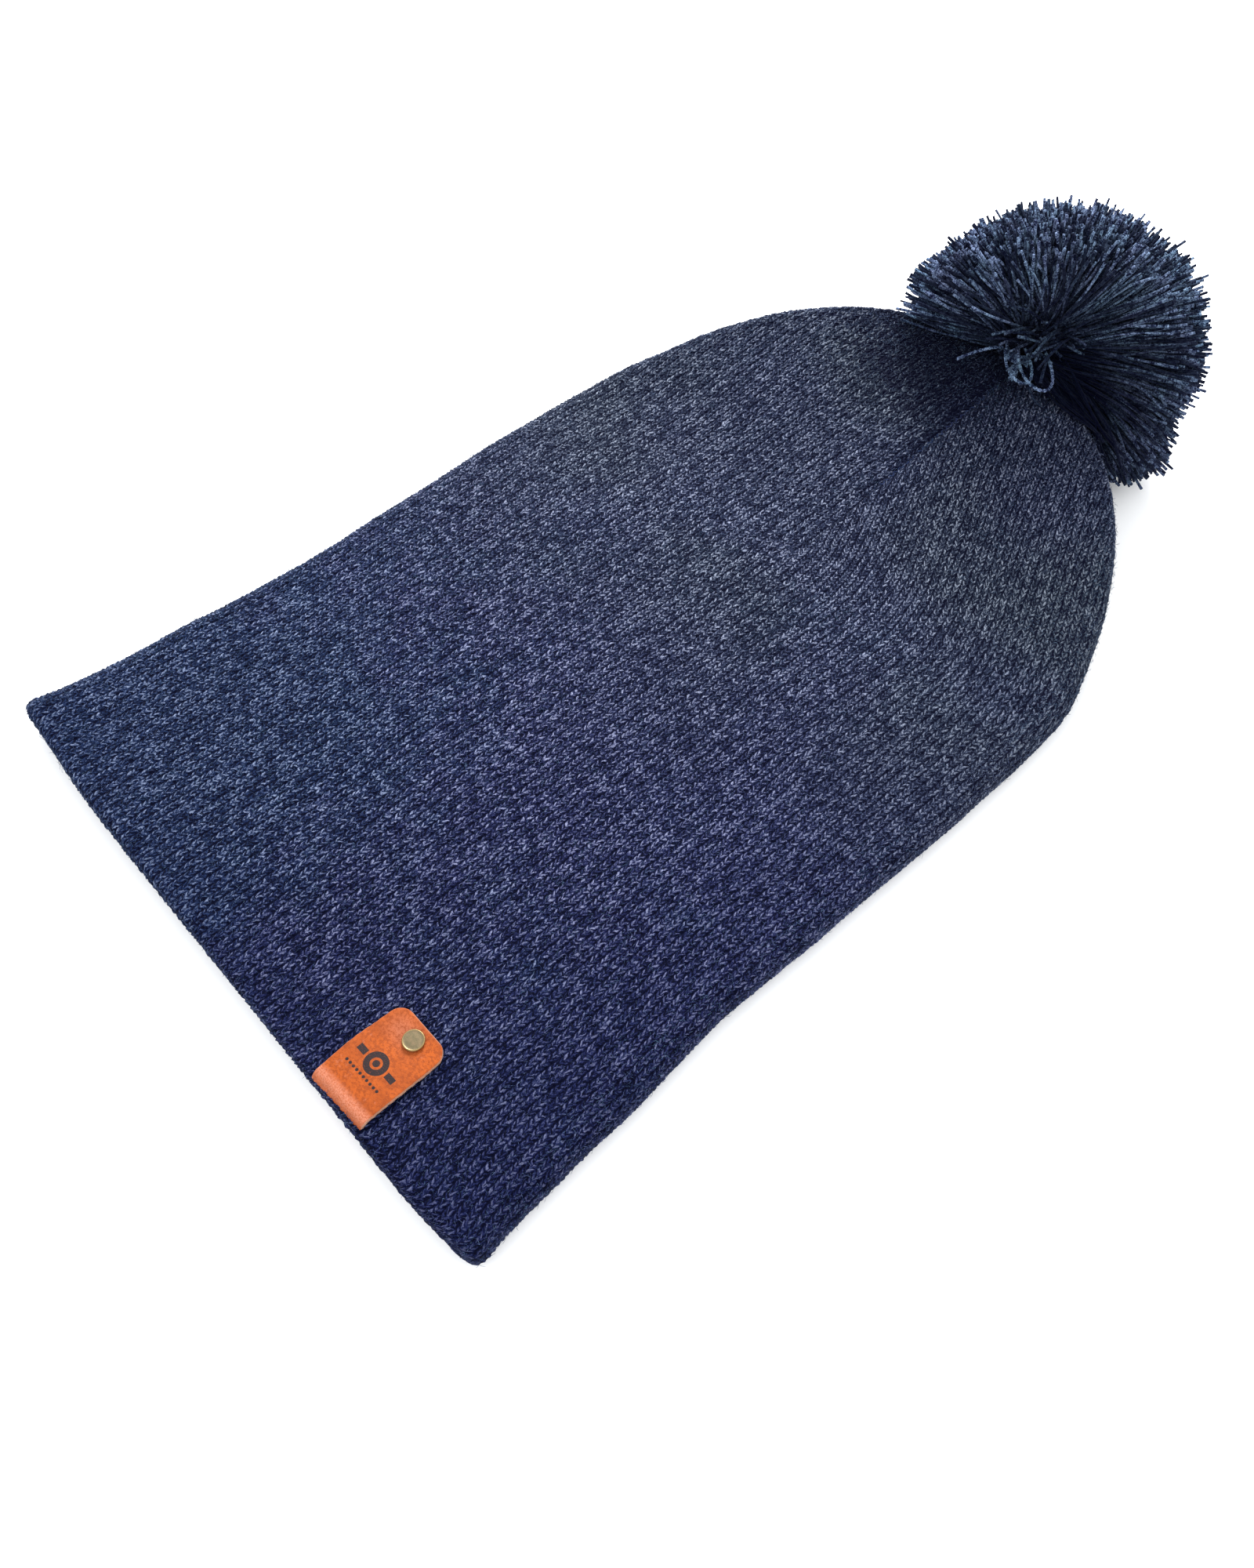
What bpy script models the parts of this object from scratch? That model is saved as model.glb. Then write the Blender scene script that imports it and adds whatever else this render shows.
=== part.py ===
"""Pom pom beanie lying flat: a double-layer knitted tube with a dart-shaped crown, a leather tag
folded round the brim and held by a double-cap rivet, and a yarn pom tied to the crown.
Metres. +Z is up, +Y runs from the brim to the pom, and the underside rests on z = 0.
Every dimension below is measured from the middle of the brim."""

import math

import bmesh
import bpy
from mathutils import Vector

# ---- knitted cap ----
BRIM_HALF_WIDTH = 0.1096
WAIST_HALF_WIDTH = 0.1038
CHEST_HALF_WIDTH = 0.1050
WAIST_START, WAIST_END, CHEST_AT = 0.102, 0.110, 0.190
CAP_LENGTH = 0.329
CROWN_START = 0.205  # the crown is half an ellipse in plan from here to the tip
DART_Y, DART_REACH, DART_BULGE = 0.238, 0.013, 0.0013  # where the edge darts begin
HALF_THICKNESS = 0.0055  # both faces, with the room between them
LAYER = 0.00105  # one knitted layer
GAP = 0.0003  # between pieces that touch
CROWN_LIFT = 0.020  # the pom holds the crown's tip this far above the table
LIFT_START, LIFT_END = 0.220, 0.330
BRIM_CORNER = 0.004
CROWN_SPAN = CAP_LENGTH - CROWN_START
WALL = 2 * LAYER + GAP
MIDDLE_Y = 0.1885  # the origin stands under the middle of the whole length

# ---- seams ----
SEAM_WIDTH, SEAM_THICKNESS = 0.0016, 0.0006
SEAM_FROM, SEAM_TO = 0.258, 0.312

# ---- leather tag and rivet ----
TAG_X = 0.0560
TAG_WIDTH, TAG_THICKNESS, TAG_CORNER = 0.0198, 0.0015, 0.0045
TAG_FRONT_LENGTH, TAG_BACK_LENGTH = 0.0284, 0.0284
TAG_PULL = 0.0020  # the tag pulls the brim in by this much
RIVET_Y = 0.0240
RIVET_RADIUS, RIVET_CAP = 0.0030, 0.0010
POST_RADIUS, POST_HOLE_RADIUS = 0.0012, 0.0015

# ---- pom and its tie ----
TIE_X, TIE_Y = 0.008, 0.319
TIE_PIVOT_Z = 0.036
CORD_RADIUS, CORD_HOLE_RADIUS, CORD_END_RADIUS = 0.0013, 0.0020, 0.0022
POM_CENTRE = Vector((0.0155, 0.327, 0.041))
POM_RADIUS, POM_HALF_HEIGHT = 0.050, 0.043
POM_PART_Z = 0.038  # the yarn parts here to let the crown in
POM_PART_Y = 0.337
POM_POCKET_RADIUS, POM_POCKET_TOP = 0.0075, 0.0438
BINDING_RADIUS, BINDING_YARN = 0.0046, 0.0016
BINDING_Z = 0.0405


def clear_scene():
    for item in list(bpy.data.objects):
        bpy.data.objects.remove(item, do_unlink=True)


def material(name, colour, roughness, metallic=0.0):
    made = bpy.data.materials.new(name)
    made.use_nodes = True
    shader = made.node_tree.nodes["Principled BSDF"]
    shader.inputs["Base Color"].default_value = (*colour, 1.0)
    shader.inputs["Roughness"].default_value = roughness
    shader.inputs["Metallic"].default_value = metallic
    return made


def add_object(name, bm, look):
    """Links the mesh as an object, with its normals facing out, moved from the brim's frame."""
    bmesh.ops.recalc_face_normals(bm, faces=bm.faces)
    if bm.calc_volume(signed=True) < 0:
        bmesh.ops.reverse_faces(bm, faces=bm.faces)
    bmesh.ops.translate(bm, verts=bm.verts, vec=(0.0, -MIDDLE_Y, 0.0))
    mesh = bpy.data.meshes.new(name)
    bm.to_mesh(mesh)
    bm.free()
    if look:
        mesh.materials.append(look)
    made = bpy.data.objects.new(name, mesh)
    bpy.context.scene.collection.objects.link(made)
    return made


def skin(rings):
    """A closed tube through rings of equal point count, with a cap on the first and the last."""
    bm = bmesh.new()
    loops = [[bm.verts.new(point) for point in ring] for ring in rings]
    for first, second in zip(loops, loops[1:]):
        for i, corner in enumerate(first):
            j = (i + 1) % len(first)
            bm.faces.new((corner, first[j], second[j], second[i]))
    bm.faces.new(loops[0][::-1])
    bm.faces.new(loops[-1])
    return bm


def turned(profile, centre, steps):
    """A closed solid of revolution about the vertical through centre, from (radius, z) pairs."""
    bm = bmesh.new()
    rings = []
    for radius, z in profile:
        if radius == 0:
            rings.append([bm.verts.new((centre.x, centre.y, z))])
            continue
        angles = [2 * math.pi * k / steps for k in range(steps)]
        rings.append(
            [
                bm.verts.new((centre.x + radius * math.cos(a), centre.y + radius * math.sin(a), z))
                for a in angles
            ]
        )
    for first, second in zip(rings, rings[1:]):
        for k in range(steps):
            n = (k + 1) % steps
            corners = [first[k % len(first)], first[n % len(first)]]
            corners += [second[n % len(second)], second[k % len(second)]]
            bm.faces.new(list(dict.fromkeys(corners)))
    return bm


def cutter(name, bm):
    made = add_object(name, bm, None)
    made.hide_render = True
    made.display_type = "WIRE"
    return made


def cut(target, *tools):
    for tool in tools:
        modifier = target.modifiers.new(tool.name, "BOOLEAN")
        modifier.operation = "DIFFERENCE"
        modifier.solver = "EXACT"
        modifier.object = tool


# ---- the cap's outline ----


def ease(y, start, end):
    t = min(max((y - start) / (end - start), 0.0), 1.0)
    return t * t * (3 - 2 * t)


def cap_rise(y):
    return CROWN_LIFT * ease(y, LIFT_START, LIFT_END)


def half_width(y, inset):
    width = BRIM_HALF_WIDTH + (WAIST_HALF_WIDTH - BRIM_HALF_WIDTH) * ease(y, 0.0, WAIST_START)
    width += (CHEST_HALF_WIDTH - WAIST_HALF_WIDTH) * ease(y, WAIST_END, CHEST_AT) - inset
    width += DART_BULGE * math.exp(-(((y - DART_Y) / DART_REACH) ** 2))
    if y < BRIM_CORNER:
        width -= BRIM_CORNER - math.sqrt(BRIM_CORNER**2 - (BRIM_CORNER - y) ** 2)
    t = max((y - CROWN_START) / (CROWN_SPAN - inset), 0.0)
    return width * math.sqrt(max(1 - t * t, 0.0))


def half_height(y, inset):
    height = HALF_THICKNESS - inset
    t = max((y - (CAP_LENGTH - HALF_THICKNESS)) / height, 0.0)
    return height * math.sqrt(max(1 - t * t, 0.0))


def section(y, inset, flat_steps, end_steps):
    """One cross-section: flat above and below, with round side edges."""
    height = half_height(y, inset)
    width = half_width(y, inset)
    flat = max(width - height, 0.0)
    middle = HALF_THICKNESS + cap_rise(y)
    ring = []
    for side in (1, -1):
        for k in range(flat_steps):
            x = flat * side * (2 * k / flat_steps - 1)
            ring.append((-x, y, middle + side * height))
        for k in range(end_steps):
            a = math.pi * k / end_steps
            x = flat + min(height, width) * math.sin(a)
            ring.append((-side * x, y, middle + side * height * math.cos(a)))
    return ring


def stations(inset, start, straight_steps, crown_steps):
    """Where the cross-sections stand: close at the brim's corner and the tip, else even."""
    corner = [start] + [BRIM_CORNER * k / 4 for k in (2, 3) if BRIM_CORNER * k / 4 > start + GAP]
    length = CROWN_START - BRIM_CORNER
    body = corner + [BRIM_CORNER + length * k / straight_steps for k in range(straight_steps)]
    turns = [math.radians(89.0) * k / crown_steps for k in range(crown_steps + 1)]
    return body + [CROWN_START + (CROWN_SPAN - inset) * math.sin(a) for a in turns]


def knit_layer(name, look, outset, inset, lip, steps):
    """One knitted layer, open at the brim. lip lists (y, inset) for the rings round its edge."""
    straight, crown, flat, end = steps
    outside = stations(outset, lip[0][0], straight, crown)[1:]
    inside = stations(inset, lip[-1][0], straight, crown)[1:]
    rings = [section(y, outset, flat, end) for y in reversed(outside)]
    rings += [section(y, depth, flat, end) for y, depth in lip]
    rings += [section(y, inset, flat, end) for y in inside]
    return add_object(name, skin(rings), look)


# ---- strips ----


def surface_point(side, t):
    """A point of the cap's outside along one of its four crown seams, and the way out there."""
    y = SEAM_FROM + (SEAM_TO - SEAM_FROM) * t
    middle = HALF_THICKNESS + cap_rise(y)
    if side in ("top", "bottom"):
        up = 1 if side == "top" else -1
        return Vector((TIE_X * t * 0.6, y, middle + up * half_height(y, 0))), Vector((0, 0, up))
    right = 1 if side == "right" else -1
    slope = (half_width(y + 0.0005, 0) - half_width(y - 0.0005, 0)) / 0.001
    out = Vector((right, -slope, 0)).normalized()
    return Vector((right * half_width(y, 0), y, middle)), out


def seam(side, look, steps=14):
    """A flat run of overlock thread that follows the crown a little above the knit."""
    rings = []
    for k in range(steps + 1):
        here, out = surface_point(side, k / steps)
        ahead = surface_point(side, min(k / steps + 0.01, 1.0))[0]
        behind = surface_point(side, max(k / steps - 0.01, 0.0))[0]
        along = (ahead - behind).normalized()
        out = (out - along * out.dot(along)).normalized()
        across = along.cross(out).normalized() * (SEAM_WIDTH / 2)
        low, high = here + out * (1.5 * GAP), here + out * (1.5 * GAP + SEAM_THICKNESS)
        rings.append((low - across, low + across, high + across * 0.6, high - across * 0.6))
    return add_object("crown_seam_" + side, skin(rings), look)


def tag_path(steps=12):
    """(y, z, outward y, outward z, distance from the nearer end) along the strip's inner face."""
    top = 2 * HALF_THICKNESS + GAP
    bottom = 2 * HALF_THICKNESS - WALL - GAP
    radius = (top - bottom) / 2
    bend_y, bend_z = radius - GAP + TAG_PULL, (top + bottom) / 2
    path = []
    for k in range(steps + 1):
        run = TAG_CORNER * (1 - math.cos(math.pi / 2 * k / steps))
        path.append((TAG_FRONT_LENGTH - run, top, 0, 1, run))
    for k in range(steps + 1):
        a = math.pi / 2 + math.pi * k / steps
        y, z = math.cos(a), math.sin(a)
        path.append((bend_y + radius * y, bend_z + radius * z, y, z, TAG_CORNER))
    for k in reversed(range(steps + 1)):
        run = TAG_CORNER * (1 - math.cos(math.pi / 2 * k / steps))
        path.append((TAG_BACK_LENGTH - run, bottom, 0, -1, run))
    return path


def leather_tag(look):
    rings = []
    for y, z, out_y, out_z, run in tag_path():
        corner = math.sqrt(max(TAG_CORNER**2 - (TAG_CORNER - run) ** 2, 0.0))
        half = TAG_WIDTH / 2 - TAG_CORNER + corner
        outer = (y + out_y * TAG_THICKNESS, z + out_z * TAG_THICKNESS)
        left, right = TAG_X - half, TAG_X + half
        rings.append(((left, y, z), (right, y, z), (right, *outer), (left, *outer)))
    return add_object("leather_tag", skin(rings), look)


# ---- the rivet ----


def rivet_cap(look):
    at = Vector((TAG_X + 0.0007, RIVET_Y, 0))
    base = 2 * HALF_THICKNESS + 2 * GAP + TAG_THICKNESS
    r, t = RIVET_RADIUS, RIVET_CAP
    profile = [(0, base), (r * 0.9, base), (r, base + t * 0.35), (r * 0.97, base + t * 0.7)]
    profile += [(r * 0.86, base + t * 0.95), (r * 0.5, base + t), (0, base + t)]
    return add_object("rivet_cap", turned(profile, at, 32), look)


def rivet_base(look):
    at = Vector((TAG_X + 0.0007, RIVET_Y, 0))
    top = 2 * HALF_THICKNESS - WALL - 2 * GAP - TAG_THICKNESS
    r, t = RIVET_RADIUS, RIVET_CAP
    post_top = 2 * HALF_THICKNESS + GAP + TAG_THICKNESS
    profile = [(0, top - t), (r * 0.86, top - t), (r, top - t * 0.5), (r * 0.9, top)]
    profile += [(POST_RADIUS, top), (POST_RADIUS, post_top), (0, post_top)]
    return add_object("rivet_base", turned(profile, at, 32), look)


def hole_cutter(name, x, y, radius, low, high):
    return cutter(
        name, turned([(0, low), (radius, low), (radius, high), (0, high)], Vector((x, y, 0)), 24)
    )


# ---- the pom and its tie ----


def box_cutter(name, low, high):
    bm = bmesh.new()
    bmesh.ops.create_cube(bm, size=1.0)
    for vert in bm.verts:
        vert.co = [a + (b - a) * (c + 0.5) for a, b, c in zip(low, high, vert.co)]
    return cutter(name, bm)


def pom_yarn(look):
    """The cut yarn's outer shape, flat where it rests and parted where the crown enters."""
    rows = 20
    profile = []
    for k in range(rows + 1):
        a = math.pi * k / rows
        radius = 0 if k in (0, rows) else POM_RADIUS * math.sin(a)
        profile.append((radius, POM_CENTRE.z - POM_HALF_HEIGHT * math.cos(a)))
    pom = add_object("pom_yarn", turned(profile, POM_CENTRE, 36), look)
    far = 0.2
    table = box_cutter("cut_table", (-far, 0.2, -0.05), (far, 0.45, 0.0))
    crown = box_cutter("cut_crown", (-far, 0.2, -0.05), (far, POM_PART_Y, POM_PART_Z))
    pocket = hole_cutter(
        "cut_pocket", TIE_X, TIE_Y, POM_POCKET_RADIUS, POM_PART_Z - 0.01, POM_POCKET_TOP
    )
    cut(pom, table, crown, pocket)
    return pom


def pom_binding(look, turns=28, sides=12):
    """The yarn bound round the pom's core, as a ring."""
    bm = bmesh.new()
    rings = []
    for k in range(turns):
        a = 2 * math.pi * k / turns
        ring = []
        for m in range(sides):
            b = 2 * math.pi * m / sides
            reach = BINDING_RADIUS + BINDING_YARN * math.cos(b)
            x, y = TIE_X + reach * math.cos(a), TIE_Y + reach * math.sin(a)
            ring.append(bm.verts.new((x, y, BINDING_Z + BINDING_YARN * math.sin(b))))
        rings.append(ring)
    for k in range(turns):
        first, second = rings[k], rings[(k + 1) % turns]
        for m in range(sides):
            n = (m + 1) % sides
            bm.faces.new((first[m], first[n], second[n], second[m]))
    return add_object("pom_binding", bm, look)


def tie_cord(look):
    """The cord through the crown's top, with a round end that the pom turns on."""
    low = HALF_THICKNESS + cap_rise(TIE_Y) + 0.0028
    profile = [(0, low), (CORD_RADIUS, low)]
    reach = CORD_END_RADIUS
    start = -math.acos(CORD_RADIUS / reach)
    for k in range(9):
        a = start + (math.pi / 2 - start) * k / 8
        radius = 0 if k == 8 else reach * math.cos(a)
        profile.append((radius, TIE_PIVOT_Z + reach * math.sin(a)))
    return add_object("tie_cord", turned(profile, Vector((TIE_X, TIE_Y, 0)), 20), look)


def anchor_knot(look):
    """The knot inside the crown that keeps the cord from pulling out."""
    middle = HALF_THICKNESS + cap_rise(TIE_Y)
    profile = []
    for k in range(11):
        a = math.pi * k / 10
        radius = 0 if k in (0, 10) else 0.0034 * math.sin(a)
        profile.append((radius, middle - 0.0003 - 0.0022 * math.cos(a)))
    return add_object("anchor_knot", turned(profile, Vector((TIE_X, TIE_Y, 0)), 24), look)


def build():
    clear_scene()
    knit = material("navy_knit", (0.030, 0.041, 0.085), 0.95)
    lining = material("navy_lining", (0.026, 0.036, 0.075), 0.95)
    leather = material("tan_leather", (0.52, 0.14, 0.035), 0.48)
    brass = material("aged_brass", (0.42, 0.33, 0.16), 0.35, 0.9)
    steel = material("rivet_back", (0.40, 0.32, 0.17), 0.40, 0.9)
    yarn = material("navy_yarn", (0.022, 0.031, 0.070), 0.95)
    binding = material("binding_yarn", (0.040, 0.050, 0.090), 0.95)
    cord = material("tie_cord_yarn", (0.035, 0.045, 0.085), 0.9)
    knot = material("knot_yarn", (0.032, 0.042, 0.080), 0.9)

    fold = LAYER * 0.7
    shell_lip = [(fold, 0.0), (0.0, fold), (0.0, WALL - fold), (fold, WALL)]
    shell_lip += [(WALL, WALL), (WALL, LAYER)]
    shell = knit_layer("knit_shell", knit, 0.0, LAYER, shell_lip, (16, 20, 10, 6))
    start = WALL + GAP
    lining_lip = [(start, LAYER + GAP), (start, WALL)]
    inner = knit_layer("knit_lining", lining, LAYER + GAP, WALL, lining_lip, (16, 20, 8, 6))

    for side in ("top", "bottom", "left", "right"):
        thread = material("seam_thread_" + side, (0.018, 0.025, 0.055), 0.9)
        seam(side, thread)

    tag = leather_tag(leather)
    rivet_cap(brass)
    rivet_base(steel)
    rivet_hole = hole_cutter(
        "cut_rivet", TAG_X + 0.0007, RIVET_Y, POST_HOLE_RADIUS, 0.0060, 0.0140
    )
    top = 2 * HALF_THICKNESS + cap_rise(TIE_Y)
    cord_hole = hole_cutter(
        "cut_cord", TIE_X, TIE_Y, CORD_HOLE_RADIUS, top - WALL - 0.002, top + 0.002
    )
    pull = box_cutter(
        "cut_pull",
        (TAG_X - TAG_WIDTH / 2 - GAP, -0.01, 2 * HALF_THICKNESS - WALL - 2 * GAP),
        (TAG_X + TAG_WIDTH / 2 + GAP, TAG_PULL + 2 * GAP, 2 * HALF_THICKNESS + 2 * GAP),
    )
    cut(shell, pull, rivet_hole, cord_hole)
    cut(inner, rivet_hole, cord_hole)
    cut(tag, rivet_hole)

    pom_yarn(yarn)
    pom_binding(binding)
    tie_cord(cord)
    anchor_knot(knot)


build()
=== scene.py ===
"""Looks of the pom pom beanie: a heather knit hat lying flat, with a leather tag folded over its brim
and a yarn pom tied to its tip.
"""

import math

import bpy
import numpy as np
from mathutils import Matrix, Vector


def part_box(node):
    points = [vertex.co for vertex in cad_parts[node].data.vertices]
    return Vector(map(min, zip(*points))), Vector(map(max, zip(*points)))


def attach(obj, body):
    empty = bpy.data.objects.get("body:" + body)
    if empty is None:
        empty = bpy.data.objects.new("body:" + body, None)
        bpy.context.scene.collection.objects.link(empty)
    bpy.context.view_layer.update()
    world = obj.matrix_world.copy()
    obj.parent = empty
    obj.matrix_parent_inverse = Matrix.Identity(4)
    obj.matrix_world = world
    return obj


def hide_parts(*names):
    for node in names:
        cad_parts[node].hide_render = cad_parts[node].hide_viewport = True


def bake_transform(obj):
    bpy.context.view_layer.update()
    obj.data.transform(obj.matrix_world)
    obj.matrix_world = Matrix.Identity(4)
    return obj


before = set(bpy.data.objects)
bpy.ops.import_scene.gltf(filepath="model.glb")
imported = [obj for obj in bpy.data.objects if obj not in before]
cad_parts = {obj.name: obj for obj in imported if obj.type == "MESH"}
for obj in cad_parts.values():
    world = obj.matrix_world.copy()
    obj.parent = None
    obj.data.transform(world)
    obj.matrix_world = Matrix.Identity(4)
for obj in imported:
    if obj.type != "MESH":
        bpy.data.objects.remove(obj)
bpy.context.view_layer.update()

MM = 0.001
SHELL_LOW, SHELL_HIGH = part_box("knit_shell")
BRIM_Y = SHELL_LOW.y
DETAIL = 1.0

# The hat, measured from its brim along +Y and up from the table.
BRIM_HALF_WIDTH = (SHELL_HIGH.x - SHELL_LOW.x) / 2
WAIST_HALF_WIDTH, CHEST_HALF_WIDTH = 0.1038, 0.1050
WAIST_START, WAIST_END, CHEST_AT = 0.102, 0.110, 0.190
CAP_LENGTH = SHELL_HIGH.y - SHELL_LOW.y
CROWN_START, CROWN_SPAN = 0.205, 0.124
HALF_THICKNESS = 0.0055
CROWN_LIFT, LIFT_START, LIFT_END = 0.020, 0.220, 0.330
BRIM_CORNER = 0.004
DART_Y, DART_REACH, DART_BULGE = 0.238, 0.013, 0.0013
WALL = 0.0024
HEM_RADIUS = WALL / 2

# The knit.
WALES_PER_QUARTER = 44
COURSE = 1.74 * MM
STITCH_DEPTH = 0.60 * MM
LEG_RISE = 1.05
KNIT_FUZZ, TIP_ROWS = 42000, 20
EDGE_FROM, EDGE_FUZZ = 0.985, 0.12
SEAM_X, SEAM_DRIFT = 4.6 * MM, 2.0 * MM
SEAM_FROM, SEAM_TO = 0.246, 0.316
RIGHT_LEAN, LEFT_LEAN = math.tan(math.radians(24)), math.tan(math.radians(7))
LEAN_GROWS = 0.05

# The tag: a strap folded over the brim and through the pocket, and the rivet that clamps its two ends.
TAG_X, TAG_HALF_WIDTH, TAG_HALF_THICKNESS = 56.0 * MM, 9.9 * MM, 0.75 * MM
TAG_END_Y, TAG_CORNER, TAG_EDGE = 29.7 * MM, 4.5 * MM, 0.45 * MM
TAG_SKEW = 0.9 * MM
FOLD_Y, FOLD_Z, FOLD_RADIUS = 3.2 * MM, 9.8 * MM, 2.25 * MM
RIVET_X, RIVET_Y = TAG_X + 0.8 * MM, 25.0 * MM
CAP_BASE, BASE_TOP = 13.05 * MM, 6.8 * MM
EMBLEM_ALONG = 14.4

# The pom.
POM_CENTRE = np.array([15.5, 327.0, 41.0]) * MM
POM_AXES = np.array([50.0, 50.0, 42.5]) * MM
POM_NECK = np.array([8.0, 319.0, 41.0]) * MM
NECK_TO_HEART = np.array([15.0, 326.0, 46.0]) * MM - POM_NECK
OPENING, OPENING_ANGLE = np.array([0.60, -0.68, 0.40]), math.radians(64)
CROWN_WAY, CROWN_ANGLE = np.array([-0.10, -0.95, -0.30]), math.radians(56)
CROWN_LEFT_ANGLE = math.radians(14)
LOW_RIGHT, OVER_CROWN = np.array([0.77, 0.20, -0.58]), np.array([-0.95, -0.12, -0.20])
SHADED_WAY = np.array([0.75, -0.35, -0.55])
POM_STRANDS = 11500
STRAND_STEPS = 12
PLY_LOBES = 0.22
LOCKS = 900
CURLS, CURL_AIR = 130, 0.5
POM_FUZZ = 15000
TIE_PIVOT = np.array([8.0, 319.0, 36.0]) * MM
LIFT_LIMIT, TWIST_LIMIT = math.radians(18), math.radians(15)

# The camera, found from the outline: it looks down on the hat from beyond its right-hand brim corner.
VIEW_AZIMUTH, VIEW_ELEVATION, VIEW_ROLL = 47.64, 56.79, 0.32
VIEW_DISTANCE = 0.39785
VIEW_TARGET = Vector((0.02884, BRIM_Y + 0.12352, 0.0))
FOCAL_SHARE = 0.85013
SENSOR = 36.0

# The light: the sky's colour and strength, each lamp's name, place, size and power, and the floor.
SKY, SKY_STRENGTH = (0.96, 0.98, 1.0, 1), 1.62
LAMPS = ("softbox", (-0.46, 0.56, 0.62), 0.5, 15.0), ("fill", (0.6, -0.6, 1.1), 0.9, 2.5)
FLOOR_HALF_SIZE, FLOOR_Z = 3.0, -0.2 * MM
FLOOR_TONES = (0.93, 0.93, 0.93, 1), (0.95, 0.95, 0.95, 1)


# ---- numbers and noise


def smooth(t):
    t = np.clip(t, 0.0, 1.0)
    return t * t * (3 - 2 * t)


def ease(value, start, end):
    return smooth((value - start) / (end - start))


def bell(value, centre, width):
    """1 at the centre, falling to 0 over about twice the width on either side."""
    return np.exp(-(((value - centre) / width) ** 2))


def unit(vectors):
    return vectors / np.maximum(np.linalg.norm(vectors, axis=-1, keepdims=True), 1e-12)


def xyz(x, y, z):
    """Points from their coordinates, which may be arrays or numbers."""
    return np.stack(np.broadcast_arrays(x, y, z), axis=-1)


def soft_noise(x, y, size, seed):
    """Smooth noise from -1 to 1 whose bumps are about size across."""
    table = np.random.RandomState(seed).uniform(-1, 1, (256, 256))
    u, v = x / size, y / size
    i, j = np.floor(u).astype(int), np.floor(v).astype(int)
    a, b = smooth(u - i), smooth(v - j)
    near = table[i % 256, j % 256] * (1 - a) + table[(i + 1) % 256, j % 256] * a
    far = table[i % 256, (j + 1) % 256] * (1 - a) + table[(i + 1) % 256, (j + 1) % 256] * a
    return near * (1 - b) + far * b


# ---- mesh helpers


def add_mesh(name, points, face_sizes, corners, material):
    """A smooth mesh object from points measured from the brim, in metres."""
    mesh = bpy.data.meshes.new(name)
    world = np.asarray(points, np.float64) + np.array([0.0, BRIM_Y, 0.0])
    mesh.vertices.add(len(world))
    mesh.vertices.foreach_set("co", world.astype(np.float32).ravel())
    mesh.loops.add(len(corners))
    mesh.loops.foreach_set("vertex_index", np.asarray(corners, np.int32))
    starts = np.concatenate([[0], np.cumsum(face_sizes)[:-1]]).astype(np.int32)
    mesh.polygons.add(len(face_sizes))
    mesh.polygons.foreach_set("loop_start", starts)
    mesh.update(calc_edges=True)
    mesh.validate()
    mesh.shade_smooth()
    mesh.materials.append(material)
    obj = bpy.data.objects.new(name, mesh)
    bpy.context.scene.collection.objects.link(obj)
    return obj


def set_attribute(obj, name, vectors):
    attribute = obj.data.attributes.new(name, "FLOAT_VECTOR", "POINT")
    attribute.data.foreach_set("vector", np.asarray(vectors, np.float32).ravel())


def dress(piece, body, node=None):
    """Puts a piece on its body, and in the place of a CAD node if one is given."""
    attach(piece, body)
    if node:
        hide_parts(node)


def ring_faces(rows, columns, caps):
    """Face sizes and corner indices of a tube of rings. With caps, one face closes each of its ends."""
    index = np.arange(rows * columns).reshape(rows, columns)
    beside = np.roll(index, -1, axis=1)
    quads = np.stack([index[:-1], beside[:-1], beside[1:], index[1:]], axis=-1).reshape(-1, 4)
    sizes, corners = np.full(len(quads), 4), quads.ravel()
    if caps:
        sizes = np.concatenate([sizes, [columns, columns]])
        corners = np.concatenate([corners, index[0, ::-1], index[-1]])
    return sizes, corners


def tube_object(name, grid, material, caps=False):
    """A mesh over a grid of points whose rows are rings."""
    sizes, corners = ring_faces(*grid.shape[:2], caps)
    return add_mesh(name, grid.reshape(-1, 3), sizes, corners, material)


def tube_points(paths, radii, sides, lobes, twist, seed):
    """Rings of points round many paths at once. lobes makes a ring two-lobed, like two plies, and twist
    turns it along the path.
    """
    count = len(paths)
    tangent = unit(np.gradient(paths, axis=1))
    chord = unit(paths[:, -1] - paths[:, 0])
    odd = np.where(np.abs(chord[:, 2:3]) < 0.8, [[0.0, 0.0, 1.0]], [[1.0, 0.0, 0.0]])
    across = unit(np.cross(tangent, odd[:, None, :]))
    upward = np.cross(tangent, across)
    length = np.linalg.norm(np.diff(paths, axis=1), axis=2)
    run = np.concatenate([np.zeros((count, 1)), np.cumsum(length, axis=1)], axis=1)
    start = np.random.RandomState(seed).uniform(0, 2 * math.pi, (count, 1, 1))
    turn = start + twist * run[:, :, None]
    angle = np.linspace(0, 2 * math.pi, sides, endpoint=False)[None, None, :]
    reach = radii[:, :, None] * (1 + lobes * np.cos(2 * (angle - turn)))
    ring = across[:, :, None, :] * (np.cos(angle) * reach)[..., None]
    ring = ring + upward[:, :, None, :] * (np.sin(angle) * reach)[..., None]
    return paths[:, :, None, :] + ring, run


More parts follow.
